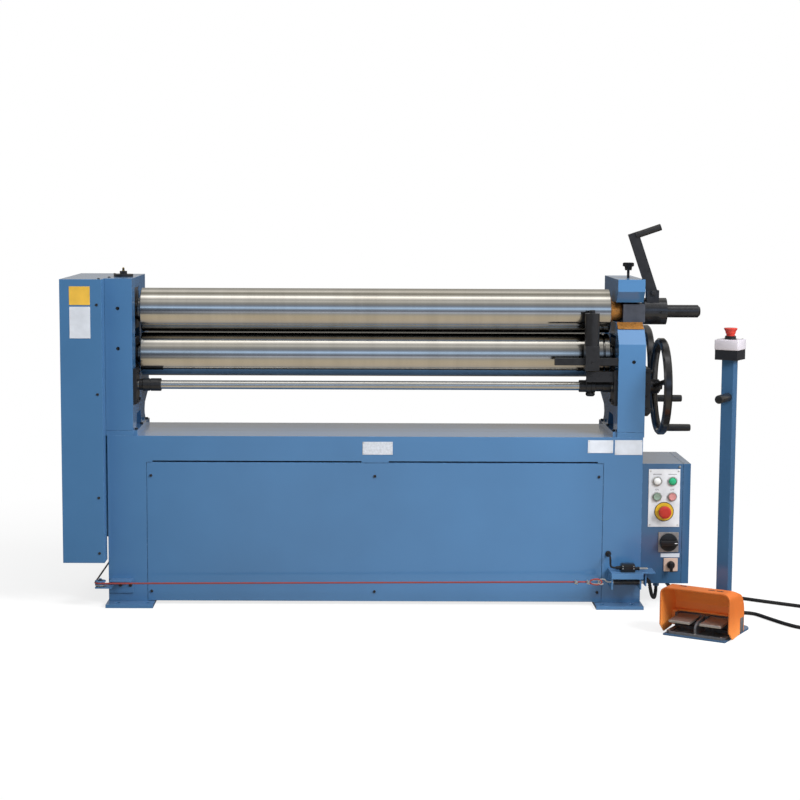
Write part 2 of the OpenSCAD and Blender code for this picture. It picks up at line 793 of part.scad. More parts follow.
module control_panel() {
    face = front_y - door_t;
    color("gainsboro") difference() {
        span([panel_x, face, panel_z], [panel_x + panel_w, front_y, panel_z + panel_h]);
        for (x = [lamp_x, button_x])
            bar_y(face - 1, front_y + 1, x, row_low, bezel_d - 7 + 2 * slide_gap);
        bar_y(face - 1, front_y + 1, stop_x_box, stop_z_box, mushroom_d - 14 + 2 * slide_gap);
    }
    color(zinc) {
        for (x = [lamp_x, button_x]) {
            bar_y(face - 5, face + eps, x, row_high, bezel_d);
            difference() {
                bar_y(face - 5, face + eps, x, row_low, bezel_d);
                bar_y(face - 6, face + 1, x, row_low, bezel_d - 7 + 2 * slide_gap);
            }
        }
        for (x = [lamp_x, button_x])
            bar_y(face - 8, face - 5 + eps, x, row_high, bezel_d - 6);
    }
    color("gold") difference() {
        bar_y(face - 2, face + eps, stop_x_box, stop_z_box, 58);
        bar_y(face - 3, face + 1, stop_x_box, stop_z_box, mushroom_d - 14 + 2 * slide_gap);
    }
}

// A flush push button with a short plunger behind its cap
module push_button(x, tint) {
    face = front_y - door_t;
    color(tint) bar_y(face - 8, front_y - 0.3, x, row_low, bezel_d - 7);
}

module on_button() {
    push_button(lamp_x, [0.35, 0.55, 0.42]);
}

module off_button() {
    push_button(button_x, [0.85, 0.42, 0.42]);
}

// A mushroom head with its stem, pressed along the stem's axis
module mushroom(stem_l) {
    cylinder(d = mushroom_d - 14, h = stem_l);
    translate([0, 0, stem_l - 4]) cylinder(d1 = mushroom_d - 8, d2 = mushroom_d, h = 6);
    translate([0, 0, stem_l + 2]) cylinder(d1 = mushroom_d, d2 = mushroom_d - 6, h = 6);
}

module emergency_stop() {
    color(red) translate([stop_x_box, front_y - 0.3, stop_z_box]) rotate([90, 0, 0]) mushroom(18);
}

module switch_plates() {
    color(zinc) {
        span([isolator_x - 30, front_y - 4, isolator_z - 30], [isolator_x + 30, front_y, isolator_z + 30]);
        span([selector_x - 30, front_y - 1, label_z - 6], [selector_x + 26, front_y, label_z + 6]);
    }
    color("burlywood")
        span([selector_x - 21, front_y - 4, selector_z - 20], [selector_x + 21, front_y, selector_z + 20]);
}

// A rotary switch's knob: a round disc with a raised handle along its own Z
module rotary_knob(x, z, d, handle_w, low, high, turn) {
    color(black) translate([x, front_y - 4.3, z]) rotate([0, turn, 0]) {
        bar_y(-8, 0, 0, 0, d);
        span([-handle_w / 2, -20, low], [handle_w / 2, -8 + eps, high]);
    }
}

module isolator_knob() {
    rotary_knob(isolator_x, isolator_z, 54, 15, -26, 26, 90);
}

module selector_knob() {
    rotary_knob(selector_x, selector_z, 24, 8, -19, 9, 0);
}

// Rope stop: bracket, switch, rope, spring, pulleys
module rope_bracket() {
    deck = rope_z + 28;
    fold_end = outer_x - 7;
    color(blue) {
        span([bracket_x, front_y - 84, deck - 4], [fold_end, front_y - 1, deck]);
        span([fold_end - eps, front_y - 66, deck - 4], [outer_x + 31, front_y - 1, deck]);
        span([bracket_x, front_y - 84, deck - 17], [fold_end, front_y - 80, deck - 4 + eps]);
        span([bracket_x, front_y - 4, rope_z - 22], [base_end - 4, front_y, deck]);
        for (x = [bracket_x, rod_end])
            difference() {
                span([x, front_y - 80 - eps, rope_z - 20], [x + 4, front_y - 1, deck - 4 + eps]);
                bar_x(x - 1, x + 5, rope_front, rope_z, 8);
            }
        difference() {
            span([outer_x + 2, front_y - 60, rope_z - 14], [outer_x + 6, front_y - 20, deck - 4 + eps]);
            bar_x(outer_x + 1, outer_x + 7, hose_y, rope_z, 8);
        }
        span([base_end - 60, back_y, pulley_z - 24], [base_end, back_y + 4, pulley_z + 24]);
        span([rope_anchor, back_y + 4 - eps, pulley_z - 12],
             [rope_anchor + 4, rope_back + 12, pulley_z + 12]);
    }
}

module limit_switch() {
    deck = rope_z + 28;
    y = front_y - 51;
    color(black) {
        span([bracket_x + 30, y - 15, deck], [bracket_x + 72, y + 15, deck + 24]);
        bar_x(bracket_x + 14, bracket_x + 31, y, deck + 11, 13);
        bar_x(bracket_x + 71, bracket_x + 86, y, deck + 9, 12);
    }
    color(zinc) bar_x(bracket_x + 86 - eps, bracket_x + 112, y, deck + 9, 7);
}

// Short leads that lie on the machine: the switch's lead and the hose to the control box
module switch_cables() {
    y = front_y - 51;
    z = rope_z + 39;
    color(black) {
        translate([bracket_x + 14, y, z + 14]) rotate([90, 0, 0]) rotate([0, 0, 180])
            rotate_extrude(angle = 90) translate([14, 0]) circle(d = 6, $fn = 24);
        translate([bracket_x, y, z + 14]) cylinder(d = 6, h = 8);
        translate([bracket_x, y + 10, z + 22]) rotate([0, 90, 0]) rotate([0, 0, 180])
            rotate_extrude(angle = 90) translate([10, 0]) circle(d = 6, $fn = 24);
        bar_y(y + 10, front_y, bracket_x, z + 32, 6);
        bar_y(front_y - 6, front_y - 0.01, bracket_x, z + 32, 18);
        bar_x(outer_x + 6, outer_x + 14, hose_y, rope_z, 16);
        tube(hose_route, 11, 2, 10);
    }
}

module rope_pulleys() {
    bend = pulley_r + rope_d / 2;
    color(zinc) for (side = [-1, 1])
        translate([rope_left + bend, side * (base_depth / 2 + rope_off - bend), pulley_z]) {
            difference() {
                translate([0, 0, -6]) cylinder(r = pulley_r + 3, h = 12);
                rotate_extrude() translate([bend, 0]) circle(d = rope_d + 2 * slide_gap, $fn = 32);
            }
            translate([0, 0, -12]) cylinder(d = 8, h = 24);
        }
    color(blue) for (side = [-1, 1]) {
        y = side * base_depth / 2;
        wall = side * 4;
        reach = side * (rope_off - 2);
        ledge = side * 42;
        translate([0, y, pulley_z]) {
            span([-base_end + 2, min(0, wall), -42], [-outer_x + 77, max(0, wall), 2]);
            span([-outer_x - 29, min(0, reach), -16], [-outer_x + 20, max(0, reach), -12 + eps]);
            span([-outer_x + 10, min(0, ledge), -1], [-outer_x + 77, max(0, ledge), 2]);
        }
    }
}

// The front run climbs from the pulley to the eye; the other runs are level
module safety_rope() {
    bend = pulley_r + rope_d / 2;
    left = rope_left;
    color(red) {
        strut([left + bend, rope_front, pulley_z], [rope_end + eps, rope_front, rope_z], rope_d);
        for (side = [-1, 1])
            translate([left + bend, side * (-rope_front - bend), pulley_z])
                rotate([0, 0, side < 0 ? 180 : 90])
                    rotate_extrude(angle = 90) translate([bend, 0]) circle(d = rope_d, $fn = 32);
        bar_y(rope_front + bend, rope_back - bend, left, pulley_z, rope_d);
        bar_x(left + bend, rope_anchor, rope_back, pulley_z, rope_d);
        for (x = [rope_end - 42, rope_end - 6])
            span([x, rope_front - 5, rope_z - 7], [x + 10, rope_front + 5, rope_z + 7]);
        difference() {
            span([rope_end, rope_front - 5, rope_z - 9], [rope_end + eye_l, rope_front + 5, rope_z + 9]);
            span([rope_end + 6, rope_front - 6, rope_z - 5],
                 [rope_end + eye_l - 5, rope_front + 6, rope_z + 5]);
        }
    }
    color(zinc) bar_x(rope_end + eye_l - eps, rod_end + 12, rope_front, rope_z, 7);
}

module rope_spring() {
    color(black) difference() {
        bar_x(bracket_x + 4, rod_end, rope_front, rope_z, 18);
        bar_x(bracket_x + 3, rod_end + 1, rope_front, rope_z, 12);
    }
}

// Foot-control station, in its own turned frame
module at_station() {
    translate(station_at) rotate([0, 0, station_turn]) children();
}

module station_base() {
    half = tube_w / 2;
    r = plate_r;
    color(blue) at_station() {
        difference() {
            union() {
                span([0, 0, 0], [plate_w, plate_l - r, plate_h]);
                span([r, 0, 0], [plate_w - r, plate_l, plate_h]);
                for (x = [r, plate_w - r])
                    translate([x, plate_l - r, 0]) cylinder(r = r, h = plate_h);
            }
            for (x = [22, plate_w - 22])
                translate([x, plate_l - 22, -1]) cylinder(d = 9, h = plate_h + 2);
        }
        translate([tube_at[0], tube_at[1], 0])
            span([-half, -half, plate_h - eps], [half, half, plate_h + tube_h]);
    }
}

module pedal_tray() {
    floor_z = plate_h + tray_h;
    edge = plate_w - 4;
    rib = [
        [8, floor_z - 1], [8, pedal_low - 11], [11, pedal_low - 4], [18, pedal_low + 2],
        [32, pedal_low + 7], [hinge_y - 8, pedal_low + 12], [hinge_y - 8, floor_z - 1]
    ];
    color(zinc) at_station() {
        difference() {
            translate([0, 0, plate_h]) linear_extrude(height = tray_h)
                polygon([[16, 4], [edge - 12, 4], [edge, 16], [edge, tray_back], [4, tray_back], [4, 16]]);
            for (u = [[18, plate_w / 2 - 5], [plate_w / 2 + 5, plate_w - 18]])
                span([u[0], 9, floor_z - 2.5], [u[1], hinge_y - 14, floor_z + 1]);
        }
        side_slab(plate_w / 2 - 3, plate_w / 2 + 3, rib);
        difference() {
            union() {
                span([4, hinge_y - 9, floor_z - eps], [edge, tray_back, hinge_z + 7]);
                span([4, hinge_y + 14, floor_z - eps], [edge, tray_back, hinge_z + 10]);
            }
            for (x = pedal_edges)
                span([x - 1, hinge_y - 10, floor_z + 4], [x + pedal_w + 1, hinge_y + 9, hinge_z + 8]);
        }
        for (x = pedal_edges)
            bar_x(x - 2, x + pedal_w + 2, hinge_y, hinge_z, hinge_pin_d);
        bar_y(tray_back - eps, tray_back + 7, 140, floor_z + 2, 18);
    }
}

// A block along Y with its two upper edges rounded
module arch_block(low, high, r) {
    span(low, [high[0], high[1], high[2] - r]);
    span([low[0] + r, low[1], low[2]], [high[0] - r, high[1], high[2]]);
    for (x = [low[0] + r, high[0] - r])
        bar_y(low[1], high[1], x, high[2] - r, 2 * r);
}

// Hood over the pedals, open at the front and below
module pedal_guard() {
    left = -guard_over;
    right = plate_w + guard_over;
    t = guard_t;
    step_z = hinge_z + 10;
    outer = [
        [0, 30], [0, guard_h + 1], [50, guard_h + 1], [90, guard_h - 16], [104, guard_h - 29],
        [113, guard_h - 46], [guard_back, guard_h - 60], [guard_back, step_z],
        [86, step_z], [86, 10], [28, plate_h]
    ];
    inner = [
        [-1, -1], [-1, guard_h], [48, guard_h], [87, guard_h - 19], [100, guard_h - 31],
        [109, guard_h - 47], [guard_back - t, guard_h - 61], [guard_back - t, -1]
    ];
    color(orange) at_station() {
        difference() {
            intersection() {
                side_slab(left, right, outer);
                arch_block([left, -1, 0], [right, guard_back + 1, guard_h], guard_r);
            }
            intersection() {
                side_slab(left + t, right - t, inner);
                arch_block([left + t, -2, -2], [right - t, guard_back + 1, guard_h - t], guard_r - t);
            }
        }
        span([left, guard_back - t, 12], [3.7, guard_back, step_z + eps]);
        span([plate_w - 3.7, guard_back - t, 12], [right, guard_back, step_z + eps]);
    }
}

// A pedal plate, tilted towards the front, with its hinge barrel at the back
module pedal(i) {
    color(zinc) at_station() translate([pedal_edges[i], hinge_y, hinge_z])
        rotate([pedal_tilt, 0, 0]) difference() {
            union() {
                span([0, -pedal_l, -pedal_t / 2], [pedal_w, 0, pedal_t / 2]);
                bar_x(0, pedal_w, 0, 0, hinge_d);
            }
            bar_x(-1, pedal_w + 1, 0, 0, hinge_pin_d + 2 * run_gap);
        }
}

module left_pedal() {
    pedal(0);
}

module right_pedal() {
    pedal(1);
}

module stop_box() {
    half = stop_box_w / 2;
    low = plate_h + tube_h;
    bore = mushroom_d - 14 + 2 * slide_gap;
    at_station() translate([tube_at[0], tube_at[1], low]) difference() {
        union() {
            color(black) span([-half, -half, 0], [half, half, stop_box_h / 2]);
            color("lightgray") span([-half, -half, stop_box_h / 2 - eps], [half, half, stop_box_h]);
            color(black) translate([0, 0, stop_box_h - eps]) cylinder(d = 30, h = 11);
        }
        translate([0, 0, stop_box_h - 8]) cylinder(d = bore, h = 20);
    }
}

module station_button() {
    z = plate_h + tube_h + stop_box_h - 2.7;
    color(red) at_station() translate([tube_at[0], tube_at[1], z]) mushroom(28);
}

module station_grip() {
    z = plate_h + tube_h - 105;
    face = tube_at[1] - tube_w / 2;
    x = tube_at[0] + 3;
    color(black) at_station() {
        bar_y(face - 62, face, x, z, 25);
        translate([x, face - 62, z]) sphere(d = 25);
    }
}

module pedal_cable() {
    color(black) tube(cable_route, cable_d, 2, 8);
}

base_cabinet();
access_panel();
foot_plates();
left_stand();
right_stand();
drive_cover();
swivel_cap();
upper_roll();
lower_roll();
rear_roll();
upper_bearings();
end_sleeve();
lower_bearings();
rear_bearings();
adjusters();
cross_shaft();
front_handwheel();
front_grip();
rear_shaft();
rear_handwheel();
rear_grip();
release_lever();
star_knob();
stop_rail();
cone_stop();
control_box();
control_panel();
on_button();
off_button();
emergency_stop();
switch_plates();
isolator_knob();
selector_knob();
rope_bracket();
limit_switch();
switch_cables();
rope_pulleys();
safety_rope();
rope_spring();
station_base();
pedal_tray();
pedal_guard();
left_pedal();
right_pedal();
stop_box();
station_button();
station_grip();
pedal_cable();
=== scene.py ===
"""Looks of a motorised plate rolling machine with its foot-control station.

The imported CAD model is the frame, in metres, +X along the rolls, +Y to the back and +Z up. Each
sub-assembly is a class that dresses its CAD nodes with finishes and models what the CAD leaves out: turned
rolls, screws, springs, the rope and its fittings, lamps, buttons, cords and plates. main() builds the classes
in order.
"""

import logging
import math
from dataclasses import dataclass, replace
from enum import Enum
from typing import Iterable, Sequence, Union

import bmesh
import bpy
from mathutils import Matrix, Vector


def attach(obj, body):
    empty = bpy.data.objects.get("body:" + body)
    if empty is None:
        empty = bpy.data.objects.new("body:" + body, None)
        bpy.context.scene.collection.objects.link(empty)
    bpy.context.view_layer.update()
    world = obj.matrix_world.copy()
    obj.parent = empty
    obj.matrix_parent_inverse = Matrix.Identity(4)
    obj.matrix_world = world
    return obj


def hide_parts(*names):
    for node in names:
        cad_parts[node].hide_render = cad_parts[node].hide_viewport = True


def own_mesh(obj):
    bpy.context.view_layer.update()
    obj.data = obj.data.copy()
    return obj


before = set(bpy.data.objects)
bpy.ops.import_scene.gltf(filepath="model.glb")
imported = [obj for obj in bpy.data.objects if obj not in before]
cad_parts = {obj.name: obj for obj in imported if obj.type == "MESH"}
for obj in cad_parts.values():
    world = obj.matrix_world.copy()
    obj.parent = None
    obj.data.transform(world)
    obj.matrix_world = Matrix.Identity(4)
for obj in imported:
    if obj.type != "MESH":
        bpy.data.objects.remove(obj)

LOG = logging.getLogger("plate_rolls")
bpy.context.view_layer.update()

Colour = tuple[float, float, float]
Point = tuple[float, float, float]
Pair = tuple[float, float]
Outline = Sequence[Pair]
Piece = bpy.types.Object
Socket = bpy.types.NodeSocket
Feed = Union[float, "Value"]

# The angle in degrees below which neighbouring faces shade as one, and that below which no bevel is cut
SMOOTH_ANGLE = 32
BEVEL_ANGLE = 40
# How many parts each turn of a coil gets
COIL_PARTS = 16
# Where the cloudy noises, which stay near a half, count as low and as high
CLOUD_LOW = 0.3
CLOUD_HIGH = 0.7
# How closely a rounded normal agrees with the true one on a worn edge and on a flat face
WORN_EDGE = 0.72
FLAT_FACE = 0.985
# Samples of the nodes that round edges and of those that see hollows
EDGE_SAMPLES = 4
HOLLOW_SAMPLES = 8
# The Y of the flush fronts of the base, the stands and the control box
FRONT_FACE = -0.162


class Axis(Enum):
    """The direction in which a piece is turned or wound."""

    X = (1.0, 0.0, 0.0)
    Z = (0.0, 0.0, 1.0)
    FRONT = (0.0, -1.0, 0.0)
    DOWN = (0.0, 0.0, -1.0)
    LEFT = (-1.0, 0.0, 0.0)

    @property
    def vector(self) -> Vector:
        """The axis as a unit vector."""
        return Vector(self.value)


# ---------------------------------------------------------------- shader helpers


class Value:
    """One number in a material's nodes, on which Python arithmetic adds Math nodes."""

    def __init__(self, shades: "Shades", socket: Socket) -> None:
        """Wraps an output socket of the material's nodes.

        Args:
            shades: the material's node maker.
            socket: the output that holds the number.
        """
        self.shades = shades
        self.socket = socket

    def math(self, operation: str, first: Feed, second: Feed = 0.0) -> "Value":
        """Adds one Math node.

        Args:
            operation: the Math node's operation.
            first: its first input.
            second: its second input.

        Returns:
            The result as a value.
        """
        node = self.shades.node("ShaderNodeMath", {"operation": operation}, {0: first, 1: second})
        return Value(self.shades, node.outputs[0])

    def __add__(self, other: Feed) -> "Value":
        """self + other."""
        return self.math("ADD", self, other)

    def __radd__(self, other: Feed) -> "Value":
        """other + self."""
        return self.math("ADD", other, self)

    def __sub__(self, other: Feed) -> "Value":
        """self - other."""
        return self.math("SUBTRACT", self, other)

    def __rsub__(self, other: Feed) -> "Value":
        """other - self."""
        return self.math("SUBTRACT", other, self)

    def __mul__(self, other: Feed) -> "Value":
        """self * other."""
        return self.math("MULTIPLY", self, other)

    def __rmul__(self, other: Feed) -> "Value":
        """other * self."""
        return self.math("MULTIPLY", other, self)

    def __truediv__(self, other: Feed) -> "Value":
        """self / other."""
        return self.math("DIVIDE", self, other)

    def __neg__(self) -> "Value":
        """-self."""
        return self.math("MULTIPLY", self, -1.0)

    def above(self, limit: Feed) -> "Value":
        """1 where the number is above the limit, or else 0."""
        return self.math("GREATER_THAN", self, limit)

    def below(self, limit: Feed) -> "Value":
        """1 where the number is below the limit, or else 0."""
        return self.math("LESS_THAN", self, limit)

    def clipped(self) -> "Value":
        """The number kept between 0 and 1."""
        return self.math("MINIMUM", self.math("MAXIMUM", self, 0.0), 1.0)

    def between(self, low: float, high: float) -> "Value":
        """0 at low or below, 1 at high or above, and a straight ramp between."""
        return ((self - low) / (high - low)).clipped()


class Shades:
    """The nodes of one material or world, all made by one method."""

    def __init__(self, owner: Union[bpy.types.Material, bpy.types.World]) -> None:
        """Empties the owner's nodes.

        Args:
            owner: the material or world.
        """
        owner.use_nodes = True
        self.tree = owner.node_tree
        self.tree.nodes.clear()

    def node(self, kind: str, settings: dict | None = None, sockets: dict | None = None) -> bpy.types.Node:
        """Adds one node.

        Args:
            kind: the node's type.
            settings: its properties; "stops" are a ramp's (place, colour) pairs.
            sockets: the values or links of its inputs, by name or number.

        Returns:
            The node.
        """
        node = self.tree.nodes.new(kind)
        for key, value in (settings or {}).items():
            if key == "stops":
                self._stops(node.color_ramp, value)
            else:
                setattr(node, key, value)
        for key, value in (sockets or {}).items():
            if isinstance(value, Value):
                value = value.socket
            if isinstance(value, Socket):
                self.tree.links.new(value, node.inputs[key])
            else:
                node.inputs[key].default_value = value
        return node

    @staticmethod
    def _stops(ramp: bpy.types.ColorRamp, stops: Sequence[tuple[float, Colour]]) -> None:
        """Sets a colour ramp's stops."""
        for index, (place, colour) in enumerate(stops):
            stop = ramp.elements[index] if index < 2 else ramp.elements.new(place)
            stop.position = place
            stop.color = (*colour, 1.0)

    def place(self) -> Socket:
        """The point on the surface, in the machine's own frame."""
        return self.node("ShaderNodeTexCoord").outputs["Object"]

    def along(self) -> tuple[Value, Value, Value]:
        """The point's X, Y and Z as values."""
        return self.split(self.place())

    def split(self, vector: Socket) -> tuple[Value, Value, Value]:
        """A vector's X, Y and Z as values."""
        node = self.node("ShaderNodeSeparateXYZ", None, {0: vector})
        return tuple(Value(self, out) for out in node.outputs[:3])

    def noise(
        self, scale: float, detail: float, stretch: Point = (1, 1, 1), seed: Point = (0, 0, 0)
    ) -> Value:
        """Soft noise from 0 to 1, about 0.5.

        Args:
            scale: how many blobs lie along a metre.
            detail: how many finer layers it has.
            stretch: a factor on the scale along each axis.
            seed: a shift, so that two noises differ.

        Returns:
            The noise as a value.
        """
        sockets = {"Vector": self.place(), "Scale": stretch, "Location": seed}
        moved = self.node("ShaderNodeMapping", None, sockets).outputs[0]
        sockets = {"Vector": moved, "Scale": scale, "Detail": detail}
        return Value(self, self.node("ShaderNodeTexNoise", None, sockets).outputs[0])

    def blend(self, factor: Feed, first: object, second: object) -> Socket:
        """A colour between two colours.

        Args:
            factor: 0 gives the first, 1 the second.
            first: a colour or a colour socket.
            second: a colour or a colour socket.

        Returns:
            The colour socket.
        """
        first, second = (c if isinstance(c, Socket) else (*c, 1.0) for c in (first, second))
        mix = self.node("ShaderNodeMix", {"data_type": "RGBA"}, {0: factor, 6: first, 7: second})
        return mix.outputs[2]

    def mixed(self, factor: Value, first: Socket, second: Socket) -> Socket:
        """A shader between two shaders: the first where the factor is 0, the second where it's 1."""
        return self.node("ShaderNodeMixShader", None, {0: factor, 1: first, 2: second}).outputs[0]

    def rounded(self, radius: float) -> Socket:
        """The surface's normal with its sharp edges rounded to a radius, in metres."""
        return self.node("ShaderNodeBevel", {"samples": EDGE_SAMPLES}, {"Radius": radius}).outputs[0]

    def edge_wear(self, radius: float) -> Value:
        """About 1 at sharp outer and inner edges, and 0 on flat faces."""
        true = self.node("ShaderNodeNewGeometry").outputs["Normal"]
        both = self.node(
            "ShaderNodeVectorMath", {"operation": "DOT_PRODUCT"}, {0: self.rounded(radius), 1: true}
        )
        return 1.0 - Value(self, both.outputs["Value"]).between(WORN_EDGE, FLAT_FACE)

    def openness(self, reach: float) -> Value:
        """1 in the open, and less in hollows that neighbours within a reach, in metres, shut in."""
        near = self.node("ShaderNodeAmbientOcclusion", {"samples": HOLLOW_SAMPLES}, {"Distance": reach})
        return Value(self, near.outputs["AO"])

    def bump(self, height: Value, depth: float, strength: float, under: Socket | None = None) -> Socket:
        """A bumped normal.

        Args:
            height: the relief, from 0 to 1.
            depth: the relief's depth in metres.
            strength: how strongly it shows.
            under: a normal to start from.

        Returns:
            The normal socket.
        """
        sockets = {"Height": height, "Distance": depth, "Strength": strength}
        if under is not None:
            sockets["Normal"] = under
        return self.node("ShaderNodeBump", None, sockets).outputs[0]


# ---------------------------------------------------------------- finishes


@dataclass(frozen=True)
class Finish:
    """A plain finish, and the base of the others. Its material is made once."""

    name: str  # the material's name
    slot: str  # the name of a material slot
    colour: Colour  # the base colour
    rough: float = 0.4  # the roughness
    metal: float = 0.0  # 1 for bare metal, or else 0
    coat: float = 0.0  # the weight of a clear coat
    edge: float = 0.0008  # the radius to which sharp edges look rounded, in metres

    def material(self) -> bpy.types.Material:
        """The finish's material, made at its first use."""
        found = bpy.data.materials.get(self.name)
        if found:
            return found
        made = bpy.data.materials.new(self.name)
        shades = Shades(made)
        sockets = {
            "Base Color": (*self.colour, 1.0),
            "Roughness": self.rough,
            "Metallic": self.metal,
            "Coat Weight": self.coat,
            "Coat Roughness": 0.08,
        }
        sockets.update(self.look(shades))
        shader = shades.node("ShaderNodeBsdfPrincipled", None, sockets)
        shades.node("ShaderNodeOutputMaterial", None, {"Surface": shader.outputs[0]})
        return made

    def shade(self, factor: float) -> Colour:
        """The base colour made lighter or darker."""
        return tuple(min(1.0, c * factor) for c in self.colour)

    def clouded(self, shades: Shades, noise: Value, dark: float, light: float) -> Socket:
        """The base colour, times dark where a noise is low and times light where it's high."""
        return shades.blend(noise.between(CLOUD_LOW, CLOUD_HIGH), self.shade(dark), self.shade(light))

    def relief(self, shades: Shades, height: Value, depth: float, strength: float) -> Socket:
        """A bumped normal over edges that look rounded."""
        return shades.bump(height, depth, strength, shades.rounded(self.edge))

    def look(self, shades: Shades) -> dict:
        """What varies over the surface: fine moulded grain and a little handling dirt."""
        grain = shades.noise(900.0, 2.0)
        dirt = shades.noise(24.0, 4.0, seed=(0.3, 0.1, 0.7))
        return {
            "Base Color": shades.blend(dirt.between(0.35, 0.75), self.shade(0.9), self.shade(1.12)),
            "Roughness": self.rough + (dirt - 0.5) * 0.16,
            "Normal": self.relief(shades, grain, 0.00012, 0.5),
        }


@dataclass(frozen=True)
class GlossPaint(Finish):
    """Gloss enamel on sheet and castings, faintly orange-peeled, worn along its edges, which are painted
    lighter, partly wear and partly a painted highlight.
    """

    dust: Colour = (0.33, 0.36, 0.39)  # the colour of the dust on its upper faces

    def look(self, shades: Shades) -> dict:
        """Cloudy colour, orange peel, dust on upper faces, and worn edges painted lighter as a painted
        highlight.
        """
        cloud = shades.noise(3.2, 3.0)
        speck = shades.noise(90.0, 3.0, seed=(0.2, 0.5, 0.1))
        peel = shades.noise(420.0, 1.0)
        worn = shades.edge_wear(0.0022) * shades.noise(60.0, 4.0).between(0.42, 0.62)
        up = shades.split(shades.node("ShaderNodeNewGeometry").outputs["Normal"])[2]
        top = up.between(0.55, 0.95) * (0.1 + speck.between(0.3, 0.9) * 0.04)
        colour = shades.blend(top, self.clouded(shades, cloud, 0.93, 1.06), self.dust)
        # Part wear, part painted highlight: patches of the edges are painted much lighter
        colour = shades.blend(worn * 0.55, colour, self.shade(1.9))
        return {
            "Base Color": colour,
            "Roughness": self.rough + (cloud - 0.5) * 0.08 + worn * 0.2 + top * 0.5,
            "Normal": self.relief(shades, peel, 0.0001, 0.35),
            "Specular IOR Level": 0.85,
        }


@dataclass(frozen=True)
class GroundSteel(Finish):
    """Bright ground steel with lathe lines round the X axis and faint oily smears."""

    def look(self, shades: Shades) -> dict:
        """Fine rings along the length, long smears, and a thin amber film of oil."""
        rings = shades.noise(900.0, 2.0, stretch=(1, 0.02, 0.02))
        broad = shades.noise(26.0, 3.0, stretch=(1, 0.15, 0.15), seed=(0.4, 0, 0))
        smear = shades.noise(5.0, 5.0, stretch=(0.35, 2.5, 2.5), seed=(0.1, 0.8, 0.3))
        colour = shades.blend(broad.between(0.35, 0.65), self.shade(0.95), self.shade(1.04))
        amber = tuple(c * k for c, k in zip(self.colour, (0.93, 0.86, 0.72)))
        colour = shades.blend(smear.between(0.5, 0.8) * 0.5, colour, amber)
        return {
            "Base Color": colour,
            "Roughness": self.rough + (rings - 0.5) * 0.1 + smear.between(0.5, 0.85) * 0.1,
            "Normal": self.relief(shades, rings, 0.00003, 0.5),
        }


@dataclass(frozen=True)
class RollSteel(GroundSteel):
    """Ground roll steel with painted shade where the rolls face each other."""

    reach: float = 0.11  # how far away a neighbour makes it take painted shade, in metres
    dark: float = 0.1  # the openness at which its painted shade is darkest
    clear: float = 0.8  # the openness from which no shade is painted on it

    def look(self, shades: Shades) -> dict:
        """Ground steel with shade painted by how deep the surface lies between its neighbours."""
        found = super().look(shades)
        # Painted shade: the colour darkens towards a tenth of itself where neighbours close the surface in
        light = shades.openness(self.reach).between(self.dark, self.clear)
        return found | {"Base Color": shades.blend(light, self.shade(0.1), found["Base Color"])}


@dataclass(frozen=True)
class RopeSheath(Finish):
    """Twisted wire in a red sheath along the front and back; at the side it is dark, with a painted highlight
    on each strand and painted shade between the strands.
    """

    strand_shade: Colour = (0.045, 0.036, 0.034)  # painted shade between the strands at the side
    strand_highlight: Colour = (0.15, 0.13, 0.12)  # painted highlight on top of the strands at the side

    def look(self, shades: Shades) -> dict:
        """Slanting strands with painted highlights and shade, and the sheath's end at the pulleys."""
        across, along, _ = shades.along()
        sheathed = along.math("ABSOLUTE", along).between(0.2, 0.212)
        slant = (across + along) * 1500.0
        strands = slant.math("SINE", slant) * 0.5 + 0.5
        return {
            # Painted highlight on the strands' tops and painted shade between them, at the side run
            "Base Color": shades.blend(sheathed, shades.blend(strands, self.strand_shade, self.strand_highlight), self.colour),
            "Roughness": self.rough + (strands - 0.5) * 0.1,
            "Normal": shades.bump(strands, 0.0003, 0.6),
        }


@dataclass(frozen=True)
class BlackSteel(Finish):
    """Blackened machined steel: satin, mottled, rubbed grey along its edges."""

    worn_to: Colour = (0.1, 0.1, 0.105)  # the colour to which its edges are rubbed
    grain: Point = (1, 1, 0.06)  # the scale of the tool marks, small along the way they run

    def look(self, shades: Shades) -> dict:
        """Mottled oxide, tool marks, rubbed edges and an oily sheen in places."""
        mottle = shades.noise(70.0, 4.0)
        marks = shades.noise(600.0, 2.0, stretch=self.grain, seed=(0.5, 0.2, 0))
        oil = shades.noise(14.0, 3.0, seed=(0.9, 0.2, 0.4))
        worn = shades.edge_wear(0.0016) * shades.noise(130.0, 3.0).between(0.4, 0.62)
        return {
            "Base Color": shades.blend(worn * 0.7, self.clouded(shades, mottle, 0.85, 1.15), self.worn_to),
            "Roughness": self.rough + (mottle - 0.5) * 0.08 - oil.between(0.5, 0.75) * 0.08,
            "Normal": self.relief(shades, marks, 0.00003, 0.4),
        }


@dataclass(frozen=True)
class CastZinc(Finish):
    """Zinc plate or die-cast metal: pale, dappled, a little dull."""

    def look(self, shades: Shades) -> dict:
        """Dappled plating with dull patches."""
        dapple = shades.noise(160.0, 4.0)
        dull = shades.noise(22.0, 3.0, seed=(0.7, 0.1, 0.1))
        return {
            "Base Color": self.clouded(shades, dapple, 0.84, 1.12),
            "Roughness": self.rough + (dull - 0.5) * 0.22,
            "Normal": self.relief(shades, dapple, 0.00008, 0.4),
        }


@dataclass(frozen=True)
class Moulding(Finish):
    """Moulded plastic with a fine spark texture and paler rubbed edges."""

    def look(self, shades: Shades) -> dict:
        """Spark texture, soft clouding and rubbed edges."""
        spark = shades.noise(1300.0, 2.0)
        cloud = shades.noise(16.0, 3.0, seed=(0.1, 0.6, 0.2))
        worn = shades.edge_wear(0.0014) * shades.noise(150.0, 2.0).between(0.45, 0.65)
        return {
            "Base Color": shades.blend(worn * 0.35, self.clouded(shades, cloud, 0.92, 1.07), self.shade(1.5)),
            "Roughness": self.rough + (cloud - 0.5) * 0.12,
            "Normal": self.relief(shades, spark, 0.0001, 0.5),
        }


